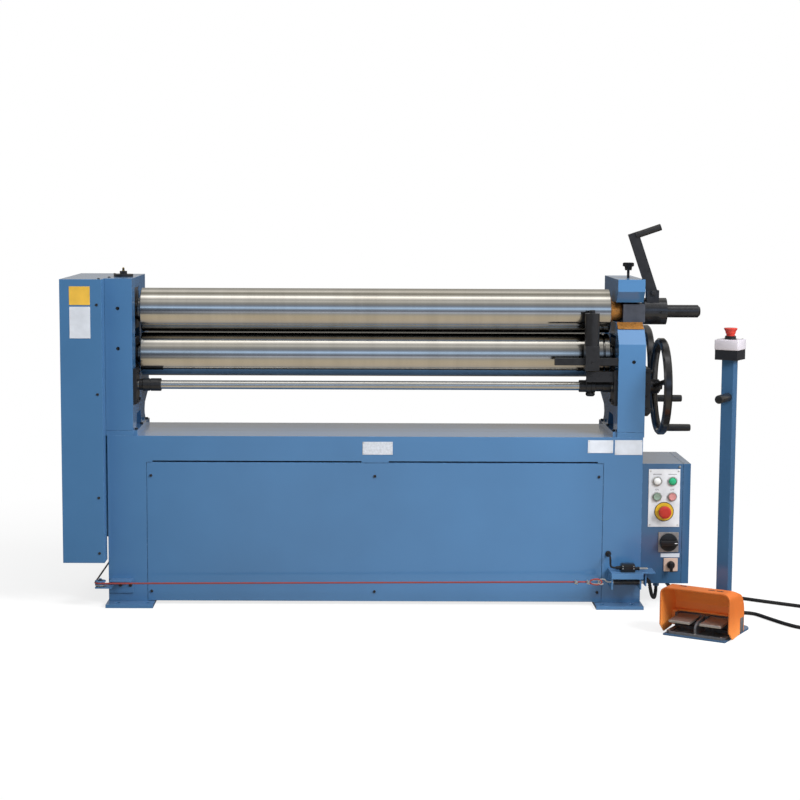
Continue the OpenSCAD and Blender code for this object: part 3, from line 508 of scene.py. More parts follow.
@dataclass(frozen=True)
class GuardPlastic(Moulding):
    """Moulded plastic with a painted glow: its hollows are painted brighter."""

    inside: Colour = (1.0, 0.37, 0.09)  # the painted glow of its hollow

    def look(self, shades: Shades) -> dict:
        """Moulded plastic, with a painted glow in its hollow."""
        found = super().look(shades)
        # Painted glow: where neighbours close the surface in, its colour turns to the bright inside colour
        light = shades.openness(0.12).between(0.3, 0.85)
        return found | {"Base Color": shades.blend(light, self.inside, found["Base Color"])}


@dataclass(frozen=True)
class Grease(Finish):
    """Bronze under amber grease, with dark smears."""

    dark: Colour = (0.05, 0.024, 0.01)  # the colour of its dark smears

    def look(self, shades: Shades) -> dict:
        """Clots of dark grease over the bronze."""
        clots = shades.noise(95.0, 4.0)
        lumps = shades.noise(210.0, 3.0, seed=(0.2, 0.2, 0.9))
        return {
            "Base Color": shades.blend(clots.between(0.52, 0.85), self.colour, self.dark),
            "Roughness": self.rough + clots.between(0.4, 0.7) * 0.2,
            "Normal": shades.bump(lumps, 0.0008, 0.6),
        }


class Finishes:
    """Every finish on the machine and its station."""

    PAINT = GlossPaint("gloss_blue_paint", "blue_paint", (0.06, 0.17, 0.352), 0.14, edge=0.0014)
    BOX_PAINT = replace(PAINT, name="deep_blue_paint", colour=(0.036, 0.1, 0.208))
    ROLL = RollSteel("ground_roll_steel", "roll_steel", (0.62, 0.6, 0.565), 0.11, metal=1.0)
    # The rear roll takes deep painted shade wherever anything lies within its reach, so it looks dark through
    # the nip
    REAR_ROLL = replace(ROLL, name="bending_roll_steel", reach=0.26, dark=0.94, clear=0.995)
    SHAFT = GroundSteel("drawn_shaft_steel", "shaft_steel", (0.64, 0.63, 0.61), 0.18, metal=1.0)
    BLACKED = BlackSteel("blackened_steel", "black_oxide", (0.022, 0.022, 0.024), 0.32, metal=0.25)
    DULL_BLACK = BlackSteel("dull_black_post", "black_oxide", (0.03, 0.03, 0.032), 0.36, metal=0.5)
    BLOCK = BlackSteel("slate_block", "black_oxide", (0.06, 0.066, 0.084), 0.42, metal=0.2)
    LATHED_BLACK = BlackSteel(
        "lathed_black", "black_oxide", (0.06, 0.061, 0.066), 0.24, metal=0.8, grain=(1, 0.02, 0.02)
    )
    BRASS = CastZinc("nipple_brass", "zinc", (0.55, 0.38, 0.12), 0.3, metal=1.0)
    WHEEL = BlackSteel("black_wheel_enamel", "black_wheel", (0.06, 0.06, 0.064), 0.2, metal=0.85)
    PLASTIC = Moulding("black_moulding", "black_plastic", (0.012, 0.012, 0.013), 0.3)
    ZINC = CastZinc("bright_zinc", "zinc", (0.62, 0.61, 0.58), 0.34, metal=0.9)
    PEDAL = CastZinc("cast_pedal_metal", "grey_metal", (0.23, 0.205, 0.19), 0.48, metal=0.45)
    SPRING = BlackSteel("dark_spring_steel", "grey_metal", (0.1, 0.1, 0.11), 0.4, metal=0.7)
    PEDAL_EDGE = CastZinc("rubbed_pedal_edge", "grey_metal", (0.42, 0.39, 0.37), 0.38, metal=0.6)
    STOP_BOX = Moulding("stop_box_base", "box_grey", (0.01, 0.011, 0.015), 0.42)
    LID = Moulding("stop_box_lid_grey", "box_grey", (0.5, 0.48, 0.54), 0.4)
    TRAY = CastZinc("cast_tray_metal", "grey_metal", (0.13, 0.135, 0.15), 0.5, metal=0.3)
    PLATE = Finish("pale_control_plate", "panel_white", (0.66, 0.68, 0.73), 0.38, coat=0.2)
    SWITCH_PLATE = CastZinc("switch_plate_metal", "zinc", (0.44, 0.43, 0.42), 0.42, metal=0.7)
    PEACH = Finish("peach_switch_plate", "zinc", (0.62, 0.46, 0.39), 0.36, coat=0.2)
    GUARD = GuardPlastic("orange_guard", "guard_orange", (0.54, 0.132, 0.02), 0.5, edge=0.002)
    RED = Moulding("red_mushroom", "signal_red", (0.5, 0.035, 0.024), 0.34, coat=0.1)
    YELLOW = Finish("yellow_ring", "signal_red", (0.7, 0.44, 0.03), 0.4)
    GREEN_CAP = Moulding("grey_green_cap", "button_green", (0.24, 0.33, 0.27), 0.34)
    PINK_CAP = Moulding("pale_red_cap", "button_pink", (0.62, 0.27, 0.27), 0.34)
    CLEAR_LENS = Finish("milky_lens", "panel_white", (0.8, 0.82, 0.84), 0.18, coat=0.6)
    GREEN_LENS = Finish("green_lens", "button_green", (0.02, 0.36, 0.17), 0.18, coat=0.6)
    ROPE = RopeSheath("red_rope_sheath", "rope_red", (0.27, 0.045, 0.04), 0.45)
    RUBBER = Moulding("black_rubber", "cable_black", (0.009, 0.009, 0.01), 0.5)
    GREASE = Grease("greasy_bronze", "roll_steel", (0.46, 0.2, 0.045), 0.24, metal=0.5)
    BARE_TAG = CastZinc("bare_name_plate", "zinc", (0.6, 0.64, 0.72), 0.42, metal=0.1)
    WHITE_TAG = Finish("bare_white_plate", "panel_white", (0.62, 0.67, 0.76), 0.4)
    YELLOW_TAG = Finish("bare_yellow_plate", "guard_orange", (0.75, 0.46, 0.06), 0.38, coat=0.2)
    INK = Finish("grey_ink", "black_plastic", (0.1, 0.1, 0.12), 0.5)
    # Painted shade for slots, recesses and the seam under a lid
    PAINTED_SHADE = Finish("painted_recess_shade", "black_plastic", (0.01, 0.012, 0.016), 0.7)


# ---------------------------------------------------------------- modelling helpers


def deselect() -> None:
    """Clears the selection."""
    bpy.ops.object.select_all(action="DESELECT")


def pick(piece: Piece) -> None:
    """Selects one piece alone and makes it the active one."""
    deselect()
    piece.select_set(True)
    bpy.context.view_layer.objects.active = piece


def named(name: str) -> Piece:
    """Names the active new piece and moves its place into its mesh.

    Args:
        name: the piece's name.

    Returns:
        The piece.
    """
    piece = bpy.context.object
    piece.name = piece.data.name = name
    bpy.ops.object.transform_apply(location=True, rotation=True, scale=True)
    return piece


def modified(piece: Piece, kind: str, settings: dict) -> Piece:
    """Adds one modifier and applies it.

    Args:
        piece: the piece.
        kind: the modifier's type.
        settings: its properties.

    Returns:
        The piece.
    """
    pick(piece)
    modifier = piece.modifiers.new(kind.title(), kind)
    for key, value in settings.items():
        setattr(modifier, key, value)
    bpy.ops.object.modifier_apply(modifier=modifier.name)
    return piece


def drilled(piece: Piece, axis: Axis, place: Point, radius: float) -> Piece:
    """Drills a round hole through a thin piece.

    Args:
        piece: the piece.
        axis: the hole's direction.
        place: a point on its axis, within 10 mm of the piece.
        radius: its radius.

    Returns:
        The piece.
    """
    drill = turned("drill", axis, place, [(-0.01, 0), (-0.01, radius), (0.01, radius), (0.01, 0)], 48)
    modified(piece, "BOOLEAN", {"object": drill, "operation": "DIFFERENCE", "solver": "EXACT"})
    pick(drill)
    bpy.ops.object.delete()
    return eased(piece, 0.0)


def eased(piece: Piece, width: float, segments: int = 2) -> Piece:
    """Bevels a piece's sharp edges and shades it smooth between them.

    Args:
        piece: the piece.
        width: the bevel's width in metres.
        segments: its steps.

    Returns:
        The piece.
    """
    if width > 0:
        settings = {"width": width, "segments": segments, "limit_method": "ANGLE"}
        modified(piece, "BEVEL", settings | {"angle_limit": math.radians(BEVEL_ANGLE)})
    pick(piece)
    bpy.ops.object.shade_smooth_by_angle(angle=math.radians(SMOOTH_ANGLE))
    return piece


def block(name: str, low: Point, high: Point, edge: float = 0.0008, segments: int = 2) -> Piece:
    """A block between two corners, with eased edges.

    Args:
        name: the piece's name.
        low: its lowest corner.
        high: its highest corner.
        edge: the width of the bevel on its edges.
        segments: the bevel's steps.

    Returns:
        The piece.
    """
    deselect()
    low, high = Vector(low), Vector(high)
    bpy.ops.mesh.primitive_cube_add(size=1.0, location=(low + high) / 2)
    bpy.context.object.scale = high - low
    return eased(named(name), edge, segments)


def rounded_plate(name: str, low: Point, high: Point, corner: float, edge: float = 0.0003) -> Piece:
    """A flat plate in the X-Z plane whose four corners are round.

    Args:
        name: the piece's name.
        low: its lowest corner.
        high: its highest corner.
        corner: the radius of its corners.
        edge: the bevel on its rim.

    Returns:
        The piece.
    """
    piece = block(name, low, high, 0.0)
    pick(piece)
    bpy.ops.object.mode_set(mode="EDIT")
    mesh = bmesh.from_edit_mesh(piece.data)
    for item in mesh.edges:
        item.select = abs((item.verts[0].co - item.verts[1].co).normalized().y) > 0.9
    for item in mesh.faces:
        item.select = False
    bmesh.update_edit_mesh(piece.data)
    bpy.ops.mesh.bevel(offset=corner, segments=6, affect="EDGES")
    bpy.ops.object.mode_set(mode="OBJECT")
    return eased(piece, edge, 1)


def mm(*points: Pair) -> Outline:
    """An outline in metres, from its points in millimetres."""
    return [(along / 1000, radius / 1000) for along, radius in points]


def turned(name: str, axis: Union[Axis, Vector], origin: Point, profile: Outline, sides: int) -> Piece:
    """A turned piece: a profile spun round an axis.

    Args:
        name: the piece's name.
        axis: the axis's direction.
        origin: a point on the axis, from which the profile is measured.
        profile: the (distance along the axis, radius) points of the outline.
        sides: the steps of the turn.

    Returns:
        The piece.
    """
    deselect()
    origin, along = Vector(origin), axis.vector if isinstance(axis, Axis) else axis.normalized()
    side = along.orthogonal().normalized()
    points = [origin + along * a + side * r for a, r in profile]
    bpy.ops.mesh.primitive_plane_add(size=0.001, location=points[0])
    piece = named(name)
    bpy.ops.object.mode_set(mode="EDIT")
    bpy.ops.mesh.select_mode(type="VERT")
    bpy.ops.mesh.select_all(action="SELECT")
    bpy.ops.mesh.merge(type="CENTER")
    for before, after in zip(points, points[1:]):
        bpy.ops.mesh.extrude_region_move(TRANSFORM_OT_translate={"value": after - before})
    bpy.ops.mesh.select_all(action="SELECT")
    bpy.ops.mesh.spin(steps=sides, angle=2 * math.pi, center=origin, axis=along)
    bpy.ops.mesh.select_all(action="SELECT")
    bpy.ops.mesh.remove_doubles(threshold=0.000002)
    bpy.ops.mesh.normals_make_consistent(inside=False)
    bpy.ops.object.mode_set(mode="OBJECT")
    return eased(piece, 0.0)


def ring(name: str, axis: Axis, origin: Point, inner: float, outer: float, depth: float) -> Piece:
    """A flat ring with eased rims, which starts at the origin and stands along the axis.

    Args:
        name: the piece's name.
        axis: its direction.
        origin: the centre of its back.
        inner: its bore's radius.
        outer: its outer radius.
        depth: its thickness.

    Returns:
        The piece.
    """
    e = min(depth, outer - inner) * 0.22
    profile = [
        (0, inner), (depth - e, inner), (depth, inner + e), (depth, outer - e), (depth - e, outer),
        (0, outer), (0, inner),
    ]
    return turned(name, axis, origin, profile, 40)


class Head(Enum):
    """The kinds of screw head."""

    HEX = "hex"
    SOCKET = "socket"
    BUTTON = "button"


def screw(name: str, axis: Axis, place: Point, radius: float, kind: Head) -> Piece:
    """A screw's head that stands on a face.

    Args:
        name: the piece's name.
        axis: the direction in which it stands out.
        place: the centre of its foot.
        radius: its radius.
        kind: its head.

    Returns:
        The piece.
    """
    r = radius
    if kind is Head.HEX:
        disc = [(0, 0), (0, r * 1.3), (r * 0.2, r * 1.3), (r * 0.2, 0)]
        washer = turned(f"{name}_washer", axis, place, disc, 24)
        profile = [(r * 0.2, 0), (r * 0.2, r), (r * 0.85, r), (r * 0.98, r * 0.82), (r * 0.98, 0)]
        return joined(name, [turned(name, axis, place, profile, 6), washer])
    if kind is Head.SOCKET:
        profile = [
            (0, 0), (0, r), (r * 0.85, r), (r, r * 0.88), (r, r * 0.52), (r * 0.35, r * 0.46), (r * 0.3, 0),
        ]
    else:
        profile = [
            (0, 0), (0, r), (r * 0.25, r * 0.96), (r * 0.5, r * 0.7), (r * 0.58, r * 0.42),
            (r * 0.25, r * 0.36), (r * 0.2, 0),
        ]
    return turned(name, axis, place, profile, 20)


def screws(name: str, axis: Axis, places: Iterable[Point], radius: float, kind: Head) -> list[Piece]:
    """The heads of equal screws, one at each place.

    Args:
        name: the first part of their names.
        axis: the direction in which they stand out.
        places: the centres of their feet.
        radius: their radius.
        kind: their head.

    Returns:
        The pieces.
    """
    return [screw(f"{name}_{k}", axis, place, radius, kind) for k, place in enumerate(places)]


def joined(name: str, pieces: Sequence[Piece]) -> Piece:
    """Joins pieces into one.

    Args:
        name: the name of the whole.
        pieces: the pieces, which become one.

    Returns:
        The whole.
    """
    pick(pieces[0])
    for piece in pieces[1:]:
        piece.select_set(True)
    bpy.ops.object.join()
    return named(name)


def swung(piece: Piece, degrees: float, axis: str, centre: Point) -> Piece:
    """Turns a piece's mesh about a point.

    Args:
        piece: the piece.
        degrees: the angle, right-handed about the axis.
        axis: X, Y or Z.
        centre: the point.

    Returns:
        The piece.
    """
    pick(piece)
    centre = Vector(centre)
    turn = Matrix.Translation(centre) @ Matrix.Rotation(math.radians(degrees), 4, axis)
    piece.matrix_world = turn @ Matrix.Translation(-centre) @ piece.matrix_world
    return named(piece.name)


def smooth_route(route: Sequence[Point], steps: int) -> list[Vector]:
    """A smooth line through the points of a route.

    Args:
        route: the points.
        steps: how many parts each stretch gets.

    Returns:
        The line's points.
    """
    points = [Vector(p) for p in route]
    line = []
    for i in range(len(points) - 1):
        a, b = points[max(0, i - 1)], points[i]
        c, d = points[i + 1], points[min(len(points) - 1, i + 2)]
        for s in range(steps):
            t = s / steps
            bend, twist = 2 * a - 5 * b + 4 * c - d, 3 * b - a - 3 * c + d
            line.append(0.5 * (2 * b + (c - a) * t + bend * t * t + twist * t**3))
    return line + [points[-1]]


def stretch(line: list[Vector], end: Point, parts: int) -> None:
    """Lengthens a line by a straight stretch of equal parts.

    Args:
        line: the line's points.
        end: the stretch's end.
        parts: how many parts it has.
    """
    start = line[-1].copy()
    line += [start.lerp(Vector(end), i / parts) for i in range(1, parts + 1)]


def strand(name: str, line: Sequence[Vector], radius: float) -> Piece:
    """A round curve along a line.

    Args:
        name: the piece's name.
        line: the points of its centreline.
        radius: its radius.

    Returns:
        The curve.
    """
    data = bpy.data.curves.new(name, "CURVE")
    data.dimensions = "3D"
    data.bevel_depth = radius
    data.bevel_resolution = 4
    data.use_fill_caps = True
    spline = data.splines.new("POLY")
    spline.points.add(len(line) - 1)
    for point, place in zip(spline.points, line):
        point.co = (*place, 1.0)
    spline.use_smooth = True
    piece = bpy.data.objects.new(name, data)
    bpy.context.collection.objects.link(piece)
    return piece


def wire(name: str, line: Sequence[Vector], radius: float) -> Piece:
    """A round bar along a line, as a mesh.

    Args:
        name: the piece's name.
        line: the points of its centreline.
        radius: its radius.

    Returns:
        The piece.
    """
    piece = strand(name, line, radius)
    pick(piece)
    bpy.ops.object.convert(target="MESH")
    piece = bpy.context.object
    piece.name = piece.data.name = name
    return eased(piece, 0.0)


def coil(
    name: str, axis: Axis, start: Point, length: float, radius: float, wire_radius: float, turns: float
) -> Piece:
    """A wound spring.

    Args:
        name: the piece's name.
        axis: its direction.
        start: the centre of its first end.
        length: its length.
        radius: the radius of the coil's centreline.
        wire_radius: the wire's radius.
        turns: how many turns it has.

    Returns:
        The piece.
    """
    along = axis.vector
    side = along.orthogonal().normalized()
    up = along.cross(side)
    count = int(turns * COIL_PARTS)
    line = []
    for i in range(count + 1):
        a = 2 * math.pi * i / COIL_PARTS
        line.append(
            Vector(start) + along * (length * i / count) + (side * math.cos(a) + up * math.sin(a)) * radius
        )
    return wire(name, line, wire_radius)


# How large a text is for a capital's height of 1, and half of the ink's thickness in metres
SIZE_OF_CAPITAL = 1.4
INK_DEPTH = 0.00008


def label(name: str, words: str, place: Point, height: float) -> Piece:
    """Generic lettering on a face that looks to the front.

    Args:
        name: the piece's name.
        words: the text.
        place: the middle of the text.
        height: the height of its capitals.

    Returns:
        The lettering as a mesh.
    """
    deselect()
    bpy.ops.object.text_add(location=place, rotation=(math.radians(90), 0, 0))
    text = bpy.context.object
    text.data.body = words
    text.data.size = height * SIZE_OF_CAPITAL
    text.data.align_x = "CENTER"
    text.data.align_y = "CENTER"
    text.data.extrude = INK_DEPTH
    bpy.ops.object.convert(target="MESH")
    return named(name)


def settle(piece: Piece, finish: Finish, body: str = "frame") -> Piece:
    """Gives a finished piece its finish and the body that it moves with.

    Args:
        piece: the piece.
        finish: its finish.
        body: the CAD body's name.

    Returns:
        The piece.
    """
    piece.data.materials.clear()
    piece.data.materials.append(finish.material())
    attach(piece, body)
    LOG.info("piece %s on %s", piece.name, body)
    return piece


def dress(finish: Finish, *nodes: str) -> None:
    """Gives CAD nodes a finish.

    Args:
        finish: the finish.
        *nodes: the nodes' names.
    """
    for node in nodes:
        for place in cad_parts[node].material_slots:
            place.material = finish.material()
        LOG.info("node %s in %s", node, finish.name)


# ---------------------------------------------------------------- studio

WHITE = (1.0, 1.0, 1.0)
# Watts of the two lamps, the even light of the surroundings and the floor's own share of white
KEY_POWER = 158.0
STRIP_POWER = 36.0
SKY_LIGHT = 0.52
FLOOR_GLOW = 0.78
# The squares of the distances in metres between which the floor's share of white grows to the whole
FLOOR_NEAR = 1.0
FLOOR_FAR = 5.0
# The two tints of the floor in reflections
FLOOR_WARM = (0.66, 0.6, 0.5)
FLOOR_DIM = (0.62, 0.57, 0.48)
# The dark corner of the studio: its turns, how far across it fades, and its colour
CORNER_TURNS = (-0.12, 0.06)
CORNER_FADE = (-0.145, -0.065)
CORNER_DARK = (0.02, 0.03, 0.05)
# What polished faces mirror, by turn: -1 the back horizon from below, -0.5 straight down, 0 the front
# horizon, 0.5 straight up and 1 the back horizon
STUDIO_BANDS = [
    (-1.0, (0.1, 0.09, 0.08)), (-0.66, (0.06, 0.055, 0.05)), (-0.6, (0.1, 0.1, 0.1)),
    (-0.5, (0.19, 0.18, 0.18)), (-0.42, (0.27, 0.26, 0.25)), (-0.35, (0.55, 0.5, 0.43)),
    (-0.27, (0.62, 0.54, 0.42)), (-0.17, (0.6, 0.53, 0.4)), (-0.105, (0.47, 0.45, 0.41)),
    (-0.078, (0.42, 0.44, 0.46)), (-0.064, (0.54, 0.6, 0.7)), (-0.044, (0.54, 0.6, 0.7)),
    (-0.022, (0.2, 0.21, 0.27)), (0.008, (0.2, 0.24, 0.31)), (0.042, (0.36, 0.47, 0.62)),
    (0.066, (0.64, 0.88, 1.25)), (0.09, (0.54, 0.74, 1.04)), (0.123, (0.26, 0.33, 0.44)),
    (0.16, (0.26, 0.28, 0.32)), (0.215, (0.36, 0.37, 0.36)), (0.276, (0.74, 0.73, 0.7)),
    (0.312, (0.52, 0.52, 0.5)), (0.345, (0.66, 0.65, 0.62)), (0.378, (1.2, 1.18, 1.14)),
    (0.425, (2.1, 2.08, 2.0)), (0.47, (0.7, 0.69, 0.65)), (0.541, (0.3, 0.29, 0.25)),
    (0.607, (0.5, 0.49, 0.44)), (0.66, (1.05, 1.02, 0.96)), (0.715, (0.6, 0.59, 0.55)),
    (0.922, (0.3, 0.29, 0.27)), (0.945, (0.6, 0.56, 0.49)),
]


@dataclass
class Studio:
    """Camera, floor, lamps and world."""

    stand: Point = (-0.0481, -5.4346, 1.2061)  # where the camera stands
    pitch: float = 6.4  # how far it looks down, in degrees
    roll: float = 0.2  # its roll, in degrees
    lens: float = 81.0  # its focal length in millimetres
    shift: float = 0.05125  # its sideways shift
    floor_size: float = 24.0  # the floor's side in metres
    floor_drop: float = 0.0004  # how far the floor lies below the machine's feet

    def build(self) -> None:
        """Makes the camera, floor, lamps and world."""
        self.camera()
        self.floor()
        self.lamp("key", (2.7, -2.5, 2.4), (0.1, 0.0, 0.65), (1.6, 1.4), KEY_POWER, WHITE)
        self.lamp("strip", (0.0, -1.45, 3.3), (0.0, -0.05, 0.8), (4.4, 0.42), STRIP_POWER, (1.0, 0.99, 0.97))
        self.world()

    def camera(self) -> None:
        """Makes the scene's camera."""
        data = bpy.data.cameras.new("camera")
        data.lens = self.lens
        data.sensor_width = 36.0
        data.shift_x = self.shift
        data.clip_end = 60.0
        camera = bpy.data.objects.new("camera", data)
        bpy.context.collection.objects.link(camera)
        look = Matrix.Rotation(math.radians(90 - self.pitch), 4, "X")
        roll = Matrix.Rotation(math.radians(self.roll), 4, "Z")
        camera.matrix_world = Matrix.Translation(self.stand) @ look @ roll
        bpy.context.scene.camera = camera
        bpy.context.scene.view_settings.view_transform = "Standard"

    def floor(self) -> None:
        """Makes the pale floor, which shows white with a soft shadow and reflects as warm beige."""
        deselect()
        bpy.ops.mesh.primitive_plane_add(size=self.floor_size, location=(0, 2.0, -self.floor_drop))
        floor = named("floor")
        made = bpy.data.materials.new("pale_floor")
        shades = Shades(made)
        seen = Value(shades, shades.node("ShaderNodeLightPath").outputs["Is Camera Ray"])
        across, along, _ = shades.along()
        away = (across * across + along * along).between(FLOOR_NEAR, FLOOR_FAR)
        warm = shades.blend(shades.noise(1.4, 3.0) * 0.2, FLOOR_WARM, FLOOR_DIM)
        colour = shades.blend(seen, warm, WHITE)
        diffuse = shades.node("ShaderNodeBsdfDiffuse", None, {"Color": colour, "Roughness": 0.6})
        glow = shades.node("ShaderNodeEmission", None, {"Color": (*WHITE, 1.0), "Strength": 1.0})
        share = seen * (FLOOR_GLOW + away * (1.0 - FLOOR_GLOW))
        mixed = shades.mixed(share, diffuse.outputs[0], glow.outputs[0])
        shades.node("ShaderNodeOutputMaterial", None, {"Surface": mixed})
        floor.data.materials.append(made)
        floor.visible_glossy = False

    def lamp(
        self, name: str, place: Point, aim: Point, size: Pair, power: float, colour: Colour
    ) -> None:
        """Adds a soft box that looks at the machine.

        Args:
            name: its name.
            place: where it hangs.
            aim: the point that it looks at.
            size: its width and height in metres.
            power: its power in watts.
            colour: its colour.
        """
        data = bpy.data.lights.new(name, "AREA")
        data.shape = "RECTANGLE"
        data.size, data.size_y = size
        data.energy = power
        data.color = colour
        lamp = bpy.data.objects.new(name, data)
        bpy.context.collection.objects.link(lamp)
        lamp.location = place
        lamp.rotation_euler = (Vector(aim) - Vector(place)).to_track_quat("-Z", "Y").to_euler()
        lamp.visible_glossy = False
        lamp.visible_camera = False

    def world(self) -> None:
        """Makes the white surroundings; bare metal sees a studio of pale walls and dark gaps in them."""
        world = bpy.data.worlds.new("studio")
        bpy.context.scene.world = world
        shades = Shades(world)
        path = shades.node("ShaderNodeLightPath")
        seen, glossy = (Value(shades, path.outputs[f"Is {ray} Ray"]) for ray in ("Camera", "Glossy"))
        across, forward, up = shades.split(shades.node("ShaderNodeTexCoord").outputs["Generated"])
        turn = up.math("ARCTAN2", up, -forward) * (1.0 / math.pi)
        stops = [((t + 1) / 2, colour) for t, colour in STUDIO_BANDS]
        ramp = shades.node("ShaderNodeValToRGB", {"stops": stops}, {0: turn * 0.5 + 0.5})
        low = turn.above(CORNER_TURNS[0]) * turn.below(CORNER_TURNS[1])
        dim = low * (1.0 - across.between(*CORNER_FADE))
        room = shades.blend(dim, ramp.outputs[0], CORNER_DARK)
        soft, room, white = (
            shades.node("ShaderNodeBackground", None, {"Color": colour, "Strength": strength}).outputs[0]
            for colour, strength in (((*WHITE, 1.0), SKY_LIGHT), (room, 1.0), ((*WHITE, 1.0), 1.0))
        )
        whole = shades.mixed(seen, shades.mixed(glossy, soft, room), white)
        shades.node("ShaderNodeOutputWorld", None, {"Surface": whole})


# ---------------------------------------------------------------- cords


@dataclass
class PedalCable:
    """The thick cable from the control box, over the floor, to the pedal tray."""

    diameter: float = 0.011  # the cable's diameter
    length: float = 1.379  # its real length
    boot: float = 0.0092  # the radius of a strain relief's wide end
    # the points of its way, from the control box's gland to the tray's
    route: tuple[Point, ...] = (
        (0.9, 0.06, 0.06), (0.9, 0.06, 0.052), (0.9007, 0.0595, 0.043), (0.9029, 0.058, 0.0344),
        (0.9064, 0.0556, 0.0264), (0.9111, 0.0523, 0.0195), (0.9168, 0.0483, 0.0138),
        (0.9233, 0.0438, 0.0095),
        (0.9304, 0.0388, 0.0069), (0.9377, 0.0337, 0.006), (0.9492, 0.0257, 0.006), (0.966, 0.014, 0.006),
        (1.01, -0.015, 0.006), (1.06, -0.048, 0.006), (1.111, -0.083, 0.006), (1.16, -0.118, 0.006),
        (1.21, -0.152, 0.006), (1.264, -0.188, 0.006), (1.318, -0.226, 0.006), (1.358, -0.274, 0.006),
        (1.374, -0.33, 0.006), (1.364, -0.388, 0.006), (1.33, -0.434, 0.006), (1.286, -0.464, 0.006),
        (1.24, -0.472, 0.006), (1.199, -0.456, 0.006), (1.168, -0.414, 0.006), (1.14, -0.358, 0.006),
        (1.127, -0.3297, 0.006), (1.1151, -0.3038, 0.006), (1.1061, -0.2906, 0.006), (1.093, -0.2813, 0.006),
        (1.0776, -0.2771, 0.006), (1.0617, -0.2784, 0.006), (1.0472, -0.285, 0.006), (1.0358, -0.2963, 0.006),
        (1.029, -0.3107, 0.006), (1.0274, -0.3266, 0.006), (1.0292, -0.3466, 0.006), (1.031, -0.366, 0.0075),
        (1.0318, -0.388, 0.011), (1.029, -0.41, 0.014), (1.0215, -0.432, 0.014), (1.0105, -0.452, 0.014),
        (0.999, -0.47, 0.014),
    )

    def build(self) -> None:
        """Makes the cable and its two strain reliefs."""
        line = smooth_route(self.route, 4)
        cable = strand("pedal_cable_run", line, self.diameter / 2)
        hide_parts("pedal_cable")
        settle(cable, Finishes.RUBBER)
        ends = [
            ("cable_relief_box", Vector((0, 0, -1)), Vector(self.route[0]) + Vector((0, 0, 0.001))),
            ("cable_relief_tray", (line[-5] - line[-1]).normalized(), line[-1]),
        ]
        reliefs = [self.relief(name, along, place) for name, along, place in ends]

    def relief(self, name: str, along: Vector, place: Point) -> Piece:
        """Makes a tapered, ribbed strain relief.

        Args:
            name: its name.
            along: the direction in which it narrows.
            place: its wide end.

        Returns:
            The piece.
        """
        profile = [(0.0, 0.0), (0.0, self.boot)]
        rib = mm((2, 0), (2.2, -1.2), (3.2, -1.2), (3.5, -0.4))
        for i in range(5):
            start, r = 0.0035 * i + 0.001, self.boot - 0.0006 * i
            profile += [(start + ahead, r + out) for ahead, out in rib]
        profile += [(0.021, 0.0062), (0.021, 0.0)]
        return settle(turned(name, along, place, profile, 28), Finishes.RUBBER)


